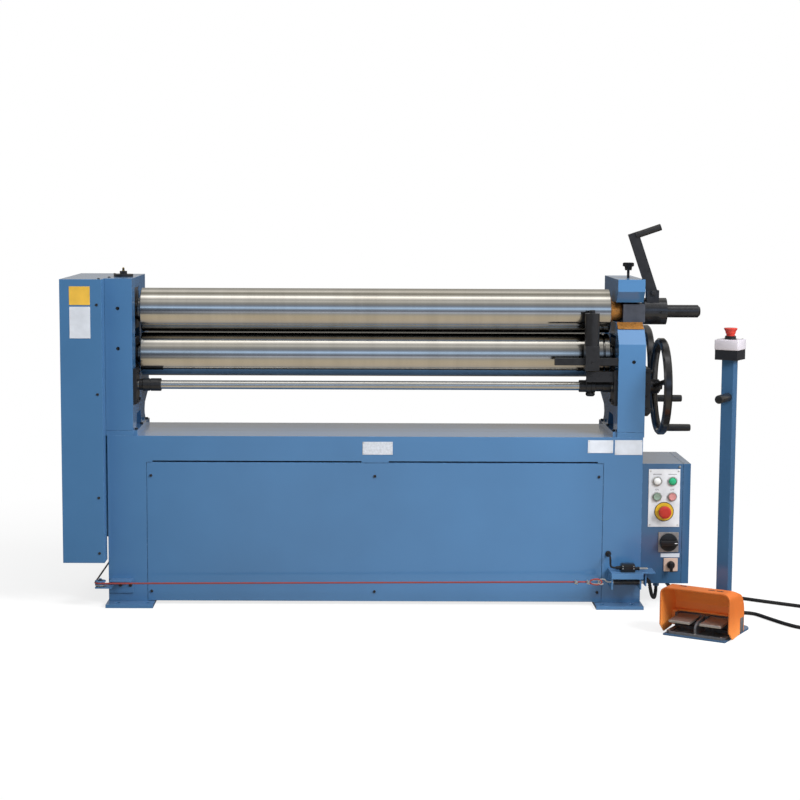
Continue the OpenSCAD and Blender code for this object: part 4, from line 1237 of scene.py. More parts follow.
@dataclass
class RopeStop:
    """The safety rope round the machine with its spring, switch, pulleys and fittings."""

    rope_radius: float = 0.0025  # the rope's radius
    length: float = 3.499  # its real length
    front: float = -0.23  # the Y of the front run
    back: float = 0.23  # the Y of the rear run
    left: float = -0.825  # the X of the side run
    bend: float = 0.0155  # the radius of the rope's bend on its pulleys
    eye: float = 0.629  # where the rope's eye begins
    high: float = 0.086  # the rope's height at the eye
    low: float = 0.076  # its height at the pulleys
    anchor: float = 0.773  # where the rear run ends
    switch_y: float = -0.213  # the Y of the limit switch and its lead
    deck: float = 0.114  # the height of the bracket's deck, on which the switch stands
    lead_z: float = 0.125  # the height at which the lead leaves the switch

    def build(self) -> None:
        """Makes the cords first, then what holds them."""
        self.rope()
        self.hose()
        dress(Finishes.PAINT, "rope_bracket", "rope_pulleys")
        self.fittings()
        self.switch()
        self.lead()
        self.bolts_and_sheaves()

    def pulley(self, side: int, above: float = 0.0) -> Vector:
        """The centre of the front pulley, for side -1, or of the rear one, or a point above it."""
        return Vector((self.left + self.bend, side * (self.back - self.bend), self.low + above))

    def rope(self) -> None:
        """Makes the taut rope from its eye round both pulleys to the rear bracket."""
        line = [Vector((self.eye, self.front, self.high))]
        stretch(line, (self.left + self.bend, self.front, self.low), 24)
        for side in (-1, 1):
            for i in range(1, 9):
                a = math.radians(90 * i / 8)
                across, out = (math.sin(a), math.cos(a)) if side < 0 else (math.cos(a), math.sin(a))
                line.append(self.pulley(side) + Vector((-across, side * out, 0)) * self.bend)
            if side < 0:
                stretch(line, (self.left, self.back - self.bend, self.low), 8)
        stretch(line, (self.anchor, self.back, self.low), 24)
        rope = strand("safety_rope_run", line, self.rope_radius)
        settle(rope, Finishes.ROPE)
        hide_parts("safety_rope")

    def hose(self) -> None:
        """Makes the corrugated hose that hangs between the bracket's lug and the control box."""
        route = [
            (0.842, -0.144, 0.0571), (0.842, -0.144, 0.05), (0.839, -0.154, 0.036), (0.833, -0.172, 0.028),
            (0.824, -0.188, 0.036), (0.817, -0.198, 0.058), (0.812, -0.202, 0.082), (0.808, -0.202, 0.086),
        ]
        line = smooth_route(route, 12)
        hose = strand("switch_hose", line, 0.0042)
        settle(hose, Finishes.RUBBER)
        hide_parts("switch_cables")
        rings = []
        rib = mm((-1.2, 4.1), (-0.6, 5.4), (0.6, 5.4), (1.2, 4.1))
        travelled, next_ring = 0.0, 0.003
        for before, after in zip(line, line[1:]):
            travelled += (after - before).length
            if travelled >= next_ring:
                next_ring += 0.0034
                rings.append(turned("hose_ring", after - before, after, rib, 14))
        settle(joined("switch_hose_ribs", rings), Finishes.RUBBER)
        gland = mm((0, 0), (0, 9), (4, 9), (4.5, 7.8), (7.5, 7.8), (8, 6.8), (8, 0))
        upper = turned("hose_gland_box", Axis.DOWN, (0.842, -0.144, 0.0645), gland, 6)
        side = turned("hose_gland_bracket", Axis.X, (0.801, -0.202, 0.086), gland, 20)
        settle(joined("hose_glands", [upper, side]), Finishes.PLASTIC)

    def fittings(self) -> None:
        """Makes the eye, its clamps, the hook, the rod and the coil spring."""
        y, z = self.front, self.high
        loop = [
            (0.631, 0.0), (0.64, 0.0062), (0.652, 0.0082), (0.662, 0.0066), (0.668, 0.0), (0.662, -0.0066),
            (0.652, -0.0082), (0.64, -0.0062), (0.631, 0.0),
        ]
        eye = wire("rope_eye", smooth_route([(x, y, z + h) for x, h in loop], 6), 0.0024)
        settle(eye, Finishes.ROPE)
        inside = [(x * 0.9 + 0.0652, y, z + h * 0.72) for x, h in loop[1:-1]]
        bent = [
            (0.7, 0, 0), (0.69, 0, 0), (0.684, 0, 0.001), (0.676, 0.001, 0.0072), (0.666, 0.001, 0.0078),
            (0.6585, 0, 0.002), (0.66, 0, -0.005), (0.667, -0.001, -0.0072), (0.673, -0.001, -0.0045),
        ]
        thimble = wire("rope_thimble", smooth_route(inside, 6), 0.0015)
        hook = wire("spring_hook", smooth_route([(x, y + dy, z + dz) for x, dy, dz in bent], 6), 0.0021)
        rod = turned("spring_rod", Axis.X, (0.6995, y, z), mm(
            (0, 0), (0, 3), (77, 3), (78, 4.5), (90, 4.5), (90.5, 4), (90.5, 0),
        ), 20)
        clamps = [self.clamp(x) for x in (0.5875, 0.623)]
        settle(joined("rope_fittings", [thimble, hook, rod, *clamps]), Finishes.ZINC)
        spring = coil("rope_spring_coil", Axis.X, (0.7035, y, z), 0.073, 0.0077, 0.0012, 21.5)
        settle(spring, Finishes.BLACKED)
        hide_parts("rope_spring")

    def clamp(self, x: float) -> Piece:
        """Makes a wire-rope clamp with its two nuts.

        Args:
            x: where it begins.

        Returns:
            The piece.
        """
        y, z = self.front, self.high
        saddle = block(f"clamp_{x}", (x, y - 0.0042, z - 0.006), (x + 0.0095, y + 0.0042, z + 0.003), 0.0012)
        places = [(x + 0.0022 + 0.005 * k, y - 0.004, z + 0.0045 - 0.009 * k) for k in (0, 1)]
        nuts = screws(f"clamp_nut_{x}", Axis.FRONT, places, 0.0024, Head.SOCKET)
        return joined(f"clamp_whole_{x}", [saddle, *nuts])

    def switch(self) -> None:
        """Makes the limit switch on the bracket's deck."""
        y, deck = self.switch_y, self.deck
        body = block("switch_body", (0.7255, y - 0.0145, deck), (0.7665, y + 0.0145, deck + 0.0215), 0.0016)
        lid = block("switch_lid", (0.727, y - 0.015, deck + 0.008), (0.765, y - 0.0138, deck + 0.02), 0.0005)
        low, high = (0.7265, y - 0.0135, deck + 0.021), (0.7655, y + 0.0135, deck + 0.024)
        cap = block("switch_cap", low, high, 0.001)
        nose = turned("switch_nose", Axis.X, (0.766, y, deck + 0.009), mm(
            (0, 0), (0, 6), (4, 6), (4.4, 5), (9, 5), (9.5, 5.8), (15, 5.5), (15, 0),
        ), 24)
        gland = turned("switch_gland", Axis.LEFT, (0.726, y, deck + 0.011), mm(
            (0, 0), (0, 6.4), (5, 6.4), (5.5, 5.6), (13, 5.2), (16.5, 3.6), (16.5, 0),
        ), 24)
        whole = settle(joined("limit_switch_body", [body, lid, cap, nose, gland]), Finishes.PLASTIC)
        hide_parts("limit_switch")
        plunger = turned("switch_plunger", Axis.X, (0.7805, y, deck + 0.009), mm(
            (0, 0), (0, 3.4), (17, 3.4), (18.5, 3), (22.5, 3.4), (25.5, 2), (26.2, 0),
        ), 20)
        places = [(x, y - 0.0148, deck + z) for z in (0.011, 0.018) for x in (0.73, 0.762)]
        studs = screws("switch_stud", Axis.FRONT, places, 0.002, Head.BUTTON)
        settle(joined("switch_plunger", [plunger, *studs]), Finishes.ZINC)

    def lead(self) -> None:
        """Makes the short lead from the switch to the base, with its grommet."""
        y, z = self.switch_y, self.lead_z
        wall = FRONT_FACE
        route = [
            (0.711, y, z), (0.704, y, z + 0.0005), (0.697, y, z + 0.004), (0.695, y, z + 0.012),
            (0.695, y + 0.001, z + 0.02), (0.695, y + 0.004, z + 0.028), (0.695, y + 0.012, z + 0.032),
            (0.695, y + 0.03, z + 0.032), (0.695, wall, z + 0.032),
        ]
        lead = wire("switch_lead", smooth_route(route, 5), 0.0029)
        grommet = turned("lead_grommet", Axis.FRONT, (0.695, wall, z + 0.032), mm(
            (0, 0), (0, 8.8), (2.4, 8.8), (3.4, 7.8), (5.5, 5.2), (5.8, 3), (5.8, 0),
        ), 28)
        settle(joined("switch_lead_run", [lead, grommet]), Finishes.RUBBER)

    def bolts_and_sheaves(self) -> None:
        """Makes the bolts of the rope's brackets and pulleys, and the two grooved sheaves."""
        places = [(-0.757, 0.058), (-0.727, 0.058), (0.712, 0.096), (0.752, 0.096)]
        tops = [self.pulley(side, 0.0058) for side in (-1, 1)]
        bolts = screws("bracket_bolt", Axis.FRONT, [(x, -0.166, z) for x, z in places], 0.0042, Head.HEX)
        bolts += screws("pulley_bolt", Axis.Z, tops, 0.005, Head.HEX)
        settle(joined("rope_bolts", bolts), Finishes.BLACKED)
        groove = mm(
            (-9, 0), (-9, 14.8), (-7.8, 15.8), (-5.2, 15.8), (-2.2, 13.1), (2.2, 13.1), (4.4, 15),
            (5.6, 14.6), (5.6, 0),
        )
        sheaves = [turned(f"sheave_{side}", Axis.Z, self.pulley(side), groove, 44) for side in (-1, 1)]
        settle(joined("rope_sheaves", sheaves), Finishes.ZINC)


# ---------------------------------------------------------------- machine


@dataclass
class Cabinet:
    """The sheet-metal base with its access panel, foot plates and bare plates."""

    front: float = FRONT_FACE  # the Y of the base's front
    screw_x: tuple[float, ...] = (-0.6635, 0.0, 0.6635)  # where the access panel's screws are along X
    screw_z: tuple[float, ...] = (0.04, 0.388)  # their heights
    rivet_in: float = 0.0035  # how far a plate's rivets stand in from its edges

    def build(self) -> None:
        """Dresses the base and adds its screws, plates and the painted shade behind its slots."""
        dress(Finishes.PAINT, "base_cabinet", "access_panel", "foot_plates")
        places = [(x, self.front - 0.0018, z) for x in self.screw_x for z in self.screw_z]
        heads = screws("panel_screw", Axis.FRONT, places, 0.0044, Head.BUTTON)
        settle(joined("panel_screws", heads), Finishes.BLACKED)
        self.bare_plate("name_plate", (-0.037, 0.452), (0.052, 0.4905), Finishes.BARE_TAG)
        self.bare_plate("data_plate", (0.629, 0.4594), (0.7035, 0.4975), Finishes.WHITE_TAG)
        self.bare_plate("service_plate", (0.7088, 0.454), (0.79, 0.498), Finishes.WHITE_TAG)
        # Painted shade: dark strips behind the slots stand in for the shade inside them
        shade_panels = [
            block(f"painted_slot_shade_{k}", (left, -0.1405, 0.4275), (right, -0.1385, 0.433), 0.0002, 1)
            for k, (left, right) in enumerate([(-0.6565, -0.0395), (0.041, 0.657)])
        ]
        settle(joined("painted_slot_shade", shade_panels), Finishes.PAINTED_SHADE)

    def bare_plate(self, name: str, low: Pair, high: Pair, finish: Finish) -> None:
        """Makes a blank plate on the base's front, with four rivets.

        Args:
            name: its name.
            low: its lowest X and Z.
            high: its highest X and Z.
            finish: its finish.
        """
        y, gap = self.front, self.rivet_in
        (left, foot), (right, top) = low, high
        plate = rounded_plate(name, (left, y - 0.001, foot), (right, y + 0.0002, top), 0.0025)
        rim = [(x, y - 0.001, z) for z in (foot + gap, top - gap) for x in (left + gap, right - gap)]
        dome = mm((0, 0), (0, 1.6), (0.4, 1.5), (0.8, 1), (1, 0))
        rivets = [turned(f"{name}_rivet_{k}", Axis.FRONT, place, dome, 12) for k, place in enumerate(rim)]
        settle(plate, finish)
        settle(joined(f"{name}_rivets", rivets), Finishes.ZINC)


@dataclass
class Stands:
    """The two cast stands with their screws, and the drive cover with its tags."""

    front: float = FRONT_FACE  # the Y of the stands' front faces
    cover_front: float = -0.224  # the Y of the cover's front

    def build(self) -> None:
        """Dresses the stands and the cover and adds their screws and tags."""
        dress(Finishes.PAINT, "left_stand", "right_stand", "drive_cover")
        self.screws()
        y = self.cover_front
        for name, low, high, finish in (
            ("yellow_tag", (-0.889, 0.8955), (-0.8285, 0.9495), Finishes.YELLOW_TAG),
            ("white_tag", (-0.8885, 0.7985), (-0.828, 0.8905), Finishes.WHITE_TAG),
        ):
            tag = rounded_plate(name, (low[0], y - 0.0006, low[1]), (high[0], y + 0.0002, high[1]), 0.003)
            settle(tag, finish)

    def screws(self) -> None:
        """Makes the set screws in the stands' fronts, the flange bolts and the cover's screws."""
        deep = [(x, self.front + 0.008, z) for x, z in ((-0.757, 0.882), (-0.757, 0.764), (0.76, 0.729))]
        flange = [(side * 0.7092, depth, 0.521) for side in (-1, 1) for depth in (-0.13, 0.0, 0.13)]
        cover = [(-0.8095, self.cover_front, z) for z in (0.896, 0.635, 0.33, 0.165)]
        top = [(-0.806, -0.2, 0.97), (-0.789, -0.1, 0.97), (-0.806, 0.15, 0.97)]
        heads = [
            *screws("set_screw", Axis.FRONT, deep, 0.0052, Head.SOCKET),
            *screws("flange_bolt", Axis.Z, flange, 0.005, Head.SOCKET),
            *screws("cover_screw", Axis.FRONT, cover, 0.0042, Head.BUTTON),
            *screws("top_screw", Axis.Z, top, 0.0045, Head.BUTTON),
        ]
        settle(joined("stand_screws", heads), Finishes.BLACKED)


@dataclass
class Rolls:
    """The three turned rolls."""

    radius: float = 0.065  # a roll's radius
    half: float = 0.7  # half of its working length
    shoulder: float = 0.01  # how far the shoulders stand out beyond that
    left: float = -0.845  # the X of the rolls' left ends
    journal: float = 0.03  # the radius of a driven journal
    open_journal: float = 0.025  # the radius of the upper roll's right journal
    step: float = 0.006  # how much thicker a shoulder is than its journal
    ease: float = 0.0016  # the bevel at the edges of a roll
    groove: float = 0.003  # the radius of a wire groove
    groove_in: tuple[float, ...] = (0.036, 0.018)  # how far the grooves are from the roll's right end

    def build(self) -> None:
        """Makes the three rolls and the greasy collar of the upper one."""
        upper = (Bearings.roll_y, Bearings.upper_z)
        self.roll("upper_roll", upper, self.open_journal, 0.795, False)
        self.roll("lower_roll", (Bearings.roll_y, 0.739), self.journal, 0.794, True)
        self.roll("rear_roll", (0.1284, 0.732), self.journal, 0.794, True)
        grease = turned("journal_grease", Axis.X, (self.half, *upper), mm(
            (0.3, 25.5), (0.3, 47), (4, 47.5), (4.5, 30), (12, 29.6), (13, 28.5), (30, 28.5), (35, 27),
            (37, 25.5),
        ), 56)
        settle(grease, Finishes.GREASE, "upper_roll")

    def roll(self, node: str, centre: Pair, right: float, end: float, grooved: bool) -> None:
        """Makes one roll in the place of its CAD node.

        Args:
            node: the node and body.
            centre: the Y and Z of its axis.
            right: the radius of its right journal.
            end: the X of its right end.
            grooved: whether it has a right shoulder and the two wire grooves.
        """
        r, e, half, left, journal = self.radius, self.ease, self.half, self.left, self.journal
        shoulder = half + self.shoulder
        profile = [
            (left, 0.0), (left, journal - e), (left + e, journal), (-shoulder - 0.002, journal),
            (-shoulder, journal + self.step), (-half, journal + self.step), (-half, r - e), (-half + e, r),
        ]
        if grooved:
            for x in (half - self.groove_in[0], half - self.groove_in[1]):
                for a in range(180, -1, -30):
                    turn = math.radians(a)
                    profile.append((x + self.groove * math.cos(turn), r - self.groove * math.sin(turn)))
        profile += [(half - e, r), (half, r - e), (half, right + self.step if grooved else right)]
        if grooved:
            profile += [(shoulder, right + self.step), (shoulder + 0.002, right)]
        profile += [(end - e, right), (end, right - e), (end, 0.0)]
        piece = turned(f"{node}_turned", Axis.X, (0.0, *centre), profile, 96)
        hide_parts(node)
        settle(piece, Finishes.REAR_ROLL if node == "rear_roll" else Finishes.ROLL, node)


@dataclass
class Bearings:
    """Bearing blocks, the greasy bed in the open mouth, the end sleeve and the release lever."""

    roll_y: float = -0.0346  # the Y of the pinch rolls
    upper_z: float = 0.872  # the height of the upper roll
    bed: Point = (0.755, -0.1235, 0.8225)  # the front lower edge of the bed in the open mouth
    slope: float = 30.2  # the bed's slope in degrees

    def build(self) -> None:
        """Dresses the blocks and adds the bed, the screws, the lathe centre and the grease nipple."""
        dress(Finishes.BLOCK, "upper_bearings", "lower_bearings", "rear_bearings")
        dress(Finishes.LATHED_BLACK, "end_sleeve")
        dress(Finishes.BLACKED, "swivel_cap", "release_lever")
        dress(Finishes.PLASTIC, "star_knob")
        _, y, z = self.bed
        strip = block("bearing_bed", (0.7165, y, z), (0.7935, y + 0.035, z + 0.0037), 0.0012)
        settle(swung(strip, self.slope, "X", self.bed), Finishes.GREASE)
        nut = screw("pivot_nut", Axis.FRONT, (0.828, -0.0656, 0.928), 0.0072, Head.HEX)
        settle(nut, Finishes.BLACKED, "release_lever")
        place = (0.852, self.roll_y - 0.0395, self.upper_z)
        settle(screw("sleeve_screw", Axis.FRONT, place, 0.0042, Head.SOCKET), Finishes.BLACKED)
        face = turned("stub_centre", Axis.X, (0.9737, self.roll_y, self.upper_z), mm(
            (0, 11.2), (0.3, 11.2), (0.3, 4), (-3, 1), (-3, 0),
        ), 32)
        settle(face, Finishes.SHAFT)
        nipple = turned("grease_nipple", Axis.Z, (-0.755, self.roll_y, 0.9865), mm(
            (0, 0), (0, 4), (3, 4), (3.4, 3), (6, 2.7), (6.6, 3.3), (9.5, 3.3), (10.8, 2.2), (11.2, 0),
        ), 20)
        settle(nipple, Finishes.BRASS)


@dataclass
class Adjusting:
    """Shafts, gear housings, couplings, handwheels and grips."""

    front: Pair = (-0.1, 0.652)  # the Y and Z of the front shaft
    rear: Pair = (0.2054, 0.67)  # the Y and Z of the rear shaft
    shaft: float = 0.013  # a shaft's radius
    ends: Pair = (-0.789, 0.844)  # the X of the front shaft's two ends
    wheel: float = 0.1345  # a handwheel's radius at the middle of its rim
    hub: float = 0.818  # where the wheels' hubs begin along X
    grip_x: float = 0.8628  # where the grips begin along X
    grip_turn: Pair = (-73.0, 214.0)  # the angle at which each wheel's grip stands, in degrees

    def build(self) -> None:
        """Dresses the housings and wheels and makes the front shaft, bolts and grips."""
        dress(Finishes.BLACKED, "adjusters")
        dress(Finishes.WHEEL, "front_handwheel", "rear_handwheel")
        dress(Finishes.SHAFT, "rear_shaft")
        self.front_shaft()
        self.housing_bolts()
        for end, centre, degrees in zip(("front", "rear"), (self.front, self.rear), self.grip_turn):
            self.wheel_fittings(end, centre, degrees)

    def front_shaft(self) -> None:
        """Makes the bright front shaft with its black couplings and the clutch knob."""
        y, z = self.front
        s, e = self.shaft, 0.0012
        left, right = self.ends
        shaft = turned("front_shaft", Axis.X, (0.0, y, z), [
            (left, 0), (left, s - e), (left + e, s), (right - e, s), (right, s - e), (right, 0),
        ], 48)
        settle(shaft, Finishes.SHAFT, "front_wheel")
        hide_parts("cross_shaft")
        couplings = [
            mm(
                (-703, 0), (-703, 3.5), (-692.5, 3.5), (-692, 4.6), (-691, 6), (-672, 6), (-671.5, 4.5),
                (-668.5, 4.5), (-668, 6), (-638.5, 6), (-637, 4.8), (-637, 0),
            ),
            mm(
                (607, 0), (607, 4), (608, 5), (626.5, 5), (627, 6.2), (628, 7), (639.5, 7), (640, 5.2),
                (642, 5.2), (642.5, 7), (654, 7), (655, 3), (677, 3), (677.5, 5), (701, 5), (702, 4),
                (702, 0),
            ),
        ]
        pieces = [
            turned(f"coupling_{k}", Axis.X, (0.0, y, z), [(x, s + proud) for x, proud in steps], 40)
            for k, steps in enumerate(couplings)
        ]
        knob = turned("clutch_knob", Axis.Z, (0.641, y, z - 0.03), mm(
            (0, 0), (0, 10.5), (1, 11.2), (4, 13.8), (8.5, 13.8), (9.5, 12), (10, 8.5), (14, 7.8), (22, 8.8),
            (22, 0),
        ), 40)
        settle(joined("couplings", [*pieces, knob]), Finishes.BLACKED, "front_wheel")

    def housing_bolts(self) -> None:
        """Makes the bolts of the gear housings and of the plates inside the stands."""
        (y, z), (back_y, back_z) = self.front, self.rear
        inner = [(y + dy, z + dz) for dz in (-0.044, 0.042) for dy in (-0.038, 0.014)]
        outer = [(y + dy, z + dz) for dy in (-0.041, 0.046) for dz in (-0.066, 0.047)]
        outer += [(back_y + dy, back_z + dz) for dy in (-0.036, 0.036) for dz in (-0.047, 0.047)]
        edge = [(0.8035, y - 0.05, z + dz) for dz in (0.046, 0.012, -0.024, -0.06)]
        bolts = [
            *screws("inner_bolt_right", Axis.LEFT, [(0.705, *place) for place in inner], 0.0046, Head.SOCKET),
            *screws("inner_bolt_left", Axis.X, [(-0.705, *place) for place in inner], 0.0046, Head.SOCKET),
            *screws("outer_bolt", Axis.X, [(0.812, *place) for place in outer], 0.0055, Head.SOCKET),
            *screws("front_bolt", Axis.FRONT, edge, 0.0036, Head.SOCKET),
        ]
        settle(joined("housing_bolts", bolts), Finishes.BLACKED)

    def wheel_fittings(self, end: str, centre: Pair, degrees: float) -> None:
        """Makes a wheel's hub nut and rim and its turning grip.

        Args:
            end: front or rear.
            centre: the Y and Z of the wheel's axis.
            degrees: the angle at which the grip stands.
        """
        y, z = centre
        nut = turned(f"{end}_hub_nut", Axis.X, (self.ends[1], y, z), mm(
            (-0.5, 12.5), (0.5, 18.5), (3, 18.5), (3.6, 17), (3.6, 11), (9.5, 10.4), (10.5, 9.2), (10.5, 0),
        ), 6)
        rim = turned(f"{end}_hub_rim", Axis.X, (self.hub, y, z), mm(
            (20, 20.8), (26.2, 20.8), (26.6, 19.6), (26.6, 12.6),
        ), 40)
        settle(joined(f"{end}_hub_fittings", [nut, rim]), Finishes.BLACKED, f"{end}_wheel")
        turn = math.radians(degrees)
        place = (self.grip_x, y + self.wheel * math.cos(turn), z + self.wheel * math.sin(turn))
        grip = turned(f"{end}_grip_turned", Axis.X, place, mm(
            (0, 0), (0, 7.2), (1.5, 7.8), (6, 7.8), (6.5, 6.2), (9.5, 6.2), (10, 10), (11.2, 10.8), (30, 11),
            (74, 10.7), (83.8, 10.5), (85.8, 9), (85.8, 4.2), (83.6, 3.6), (83.6, 0),
        ), 36)
        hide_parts(f"{end}_grip")
        settle(grip, Finishes.PLASTIC, f"{end}_grip")


@dataclass
class ConeStop:
    """The cone stop's rail, block and post."""

    x: float = 0.637  # the X of the post's axis
    y: float = -0.15  # its Y
    screw_z: float = 0.7295  # the height of the block's screw
    top: float = 0.871  # the post's upper end

    def build(self) -> None:
        """Dresses the stop and adds its screw and the post's cap."""
        dress(Finishes.DULL_BLACK, "stop_rail", "cone_stop")
        clamp = turned("stop_screw", Axis.FRONT, (self.x, self.y - 0.0192, self.screw_z), mm(
            (0, 0), (0, 3.4), (6.2, 3.4), (6.4, 2), (3.5, 1.8), (3.5, 0),
        ), 20)
        settle(clamp, Finishes.BLACKED, "cone_stop")
        collar = turned("post_cap", Axis.Z, (self.x, self.y, self.top - 0.001), mm(
            (0, 21.3), (1.8, 20), (2.2, 8.5), (2.2, 8.1), (10.4, 7.8), (11.1, 6.8), (11.1, 0),
        ), 40)
        settle(collar, Finishes.DULL_BLACK, "cone_stop")


@dataclass
class ControlBox:
    """The control box with its plate, lamps, buttons and switches."""

    front: float = FRONT_FACE  # the Y of the box's front
    face: float = FRONT_FACE - 0.0016  # the Y of the control plate's front
    columns: Pair = (0.836, 0.881)  # the X of the two columns of lamps and buttons
    high: float = 0.376  # the height of the lamps
    low: float = 0.33  # the height of the buttons
    stop: Pair = (0.858, 0.285)  # the X and Z of the emergency stop
    isolator: Pair = (0.873, 0.193)  # the X and Z of the isolator
    selector: Pair = (0.881, 0.125)  # the X and Z of the selector

    def build(self) -> None:
        """Dresses the box and makes everything on its front."""
        dress(Finishes.BOX_PAINT, "control_box")
        self.plate()
        self.lamps()
        self.buttons()
        self.emergency_stop()
        self.isolator_switch()
        self.selector_switch()

    def plate(self) -> None:
        """Makes the pale control plate with its screws and its generic lettering."""
        y, face, (left, right) = self.front, self.face, self.columns
        plate = rounded_plate("control_plate", (0.811, face, 0.239), (0.904, y + 0.0002, 0.412), 0.004)
        for (x, z), bore in (((left, self.low), 0.0113), ((right, self.low), 0.0113), (self.stop, 0.0124)):
            drilled(plate, Axis.FRONT, (x, y, z), bore)
        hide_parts("control_panel")
        settle(plate, Finishes.PLATE)
        corners = [(x, face, z) for z in (0.245, 0.406) for x in (0.8165, 0.8985)]
        heads = screws("plate_screw", Axis.FRONT, corners, 0.0024, Head.BUTTON)
        heads.append(screw("box_lock", Axis.FRONT, (0.902, y - 0.0015, 0.419), 0.0036, Head.BUTTON))
        settle(joined("plate_screws", heads), Finishes.ZINC)
        words = [
            label(f"caption_{word}", word, (x, y - 0.0017, self.low + 0.0205), 0.005)
            for x, word in zip(self.columns, ("ON", "OFF"))
        ]
        words += [
            block(f"caption_rule_{x}", (x - 0.0125, y - 0.00175, self.high + 0.02),
                  (x + 0.0125, y - 0.0015, self.high + 0.0216), 0.0001, 1)
            for x in self.columns
        ]
        settle(joined("plate_captions", words), Finishes.INK)

    def lamps(self) -> None:
        """Makes the four bezels and the two domed lamp lenses."""
        bezel = mm(
            (0, 11.3), (0, 14.3), (1.2, 14.5), (3.4, 14.1), (4.8, 12.8), (5, 11.8), (3.6, 11.3), (0, 11.3),
        )
        places = [(x, self.face, z) for z in (self.high, self.low) for x in self.columns]
        bezels = [turned(f"bezel_{k}", Axis.FRONT, place, bezel, 44) for k, place in enumerate(places)]
        settle(joined("bezels", bezels), Finishes.ZINC)
        dome = mm((0, 0), (0, 11.1), (3.6, 11.1), (5.2, 10.4), (7, 8.2), (8, 4.8), (8.3, 0))
        lenses = (("power_lamp", Finishes.CLEAR_LENS), ("run_lamp", Finishes.GREEN_LENS))
        for (name, finish), place in zip(lenses, places):
            settle(turned(name, Axis.FRONT, place, dome, 40), finish)

    def buttons(self) -> None:
        """Makes the two push-button caps, slightly dished."""
        caps = (("on_button", Finishes.GREEN_CAP), ("off_button", Finishes.PINK_CAP))
        for (body, finish), x in zip(caps, self.columns):
            cap = turned(f"{body}_cap", Axis.FRONT, (x, self.front - 0.0003, self.low), mm(
                (0, 0), (0, 10.8), (8, 10.8), (9, 10.3), (9.2, 9.4), (8.2, 6.6), (7.9, 3), (7.8, 0),
            ), 40)
            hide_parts(body)
            settle(cap, finish, body)

    def emergency_stop(self) -> None:
        """Makes the yellow ring with its dark rim, the collar and the red head."""
        x, z = self.stop
        place = (x, self.face, z)
        settle(ring("stop_shield", Axis.FRONT, place, 0.0125, 0.0272, 0.0018), Finishes.YELLOW)
        rim = ring("stop_shield_rim", Axis.FRONT, place, 0.027, 0.0288, 0.0021)
        collar = turned("stop_collar", Axis.FRONT, place, mm(
            (1, 12.5), (1, 16.6), (5, 16.6), (6, 15.6), (6.5, 12.5), (1, 12.5),
        ), 44)
        settle(joined("stop_collars", [rim, collar]), Finishes.PLASTIC)
        head = turned("emergency_stop_head", Axis.FRONT, (x, self.front - 0.0003, z), mm(
            (0, 0), (0, 11.8), (13.5, 11.8), (14.2, 15), (16.5, 18.2), (18.8, 19), (21.2, 18.6), (23.4, 17),
            (25, 13.8), (25.7, 9), (26, 0),
        ), 56)
        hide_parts("emergency_stop")
        settle(head, Finishes.RED, "emergency_stop")

    def isolator_switch(self) -> None:
        """Makes the isolator's plate, knob and white mark, and the blank bar under them."""
        x, z = self.isolator
        y = self.front
        plate = self.switch_plate("isolator_plate", self.isolator, (0.03, 0.03), 0.004, 0.0008)
        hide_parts("switch_plates")
        settle(plate, Finishes.SWITCH_PLATE)
        bar = rounded_plate("blank_label_bar", (0.851, y - 0.001, 0.147), (0.907, y, 0.159), 0.001)
        settle(bar, Finishes.WHITE_TAG)
        disc = turned("isolator_disc", Axis.FRONT, (x, y - 0.0043, z), mm(
            (0, 0), (0, 26.2), (1.2, 27), (5.2, 26.8), (7.2, 25.6), (8, 23.5), (8, 0),
        ), 56)
        knob = self.knob("isolator", disc, (-0.0258, -0.0074), (0.0258, 0.0074), 0.0024)
        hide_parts("isolator_knob")
        settle(knob, Finishes.PLASTIC, "isolator")
        low, high = (x + 0.015, y - 0.0242, z - 0.0012), (x + 0.024, y - 0.0238, z + 0.0012)
        settle(block("isolator_mark", low, high, 0.0001, 1), Finishes.PLATE, "isolator")

    def selector_switch(self) -> None:
        """Makes the selector's plate and knob."""
        x, z = self.selector
        plate = self.switch_plate("selector_plate", self.selector, (0.021, 0.02), 0.006, 0.001)
        settle(plate, Finishes.PEACH)
        disc = turned("selector_disc", Axis.FRONT, (x, self.front - 0.0043, z), mm(
            (0, 0), (0, 11.8), (4, 12), (6.6, 11.4), (7.8, 10), (8, 0),
        ), 40)
        knob = self.knob("selector", disc, (-0.004, -0.0188), (0.004, 0.0088), 0.0018)
        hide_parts("selector_knob")
        settle(knob, Finishes.PLASTIC, "selector")

    def switch_plate(self, name: str, centre: Pair, half: Pair, corner: float, edge: float) -> Piece:
        """Makes the square plate behind a switch.

        Args:
            name: its name.
            centre: its X and Z.
            half: half of its width and of its height.
            corner: the radius of its corners.
            edge: the bevel on its rim.

        Returns:
            The plate.
        """
        (x, z), (wide, high), y = centre, half, self.front
        return rounded_plate(name, (x - wide, y - 0.004, z - high), (x + wide, y, z + high), corner, edge)

    def knob(self, body: str, disc: Piece, low: Pair, high: Pair, edge: float) -> Piece:
        """Makes a switch's whole knob from its disc and a bar-shaped handle.

        Args:
            body: isolator or selector.
            disc: the turned disc, which becomes part of the whole.
            low: the handle's lowest X and Z, from the switch's centre.
            high: its highest X and Z.
            edge: the bevel on its edges.

        Returns:
            The whole knob.
        """
        x, z = getattr(self, body)
        y = self.front
        foot, top = (x + low[0], y - 0.024, z + low[1]), (x + high[0], y - 0.0118, z + high[1])
        return joined(f"{body}_knob_whole", [disc, block(f"{body}_handle", foot, top, edge, 3)])


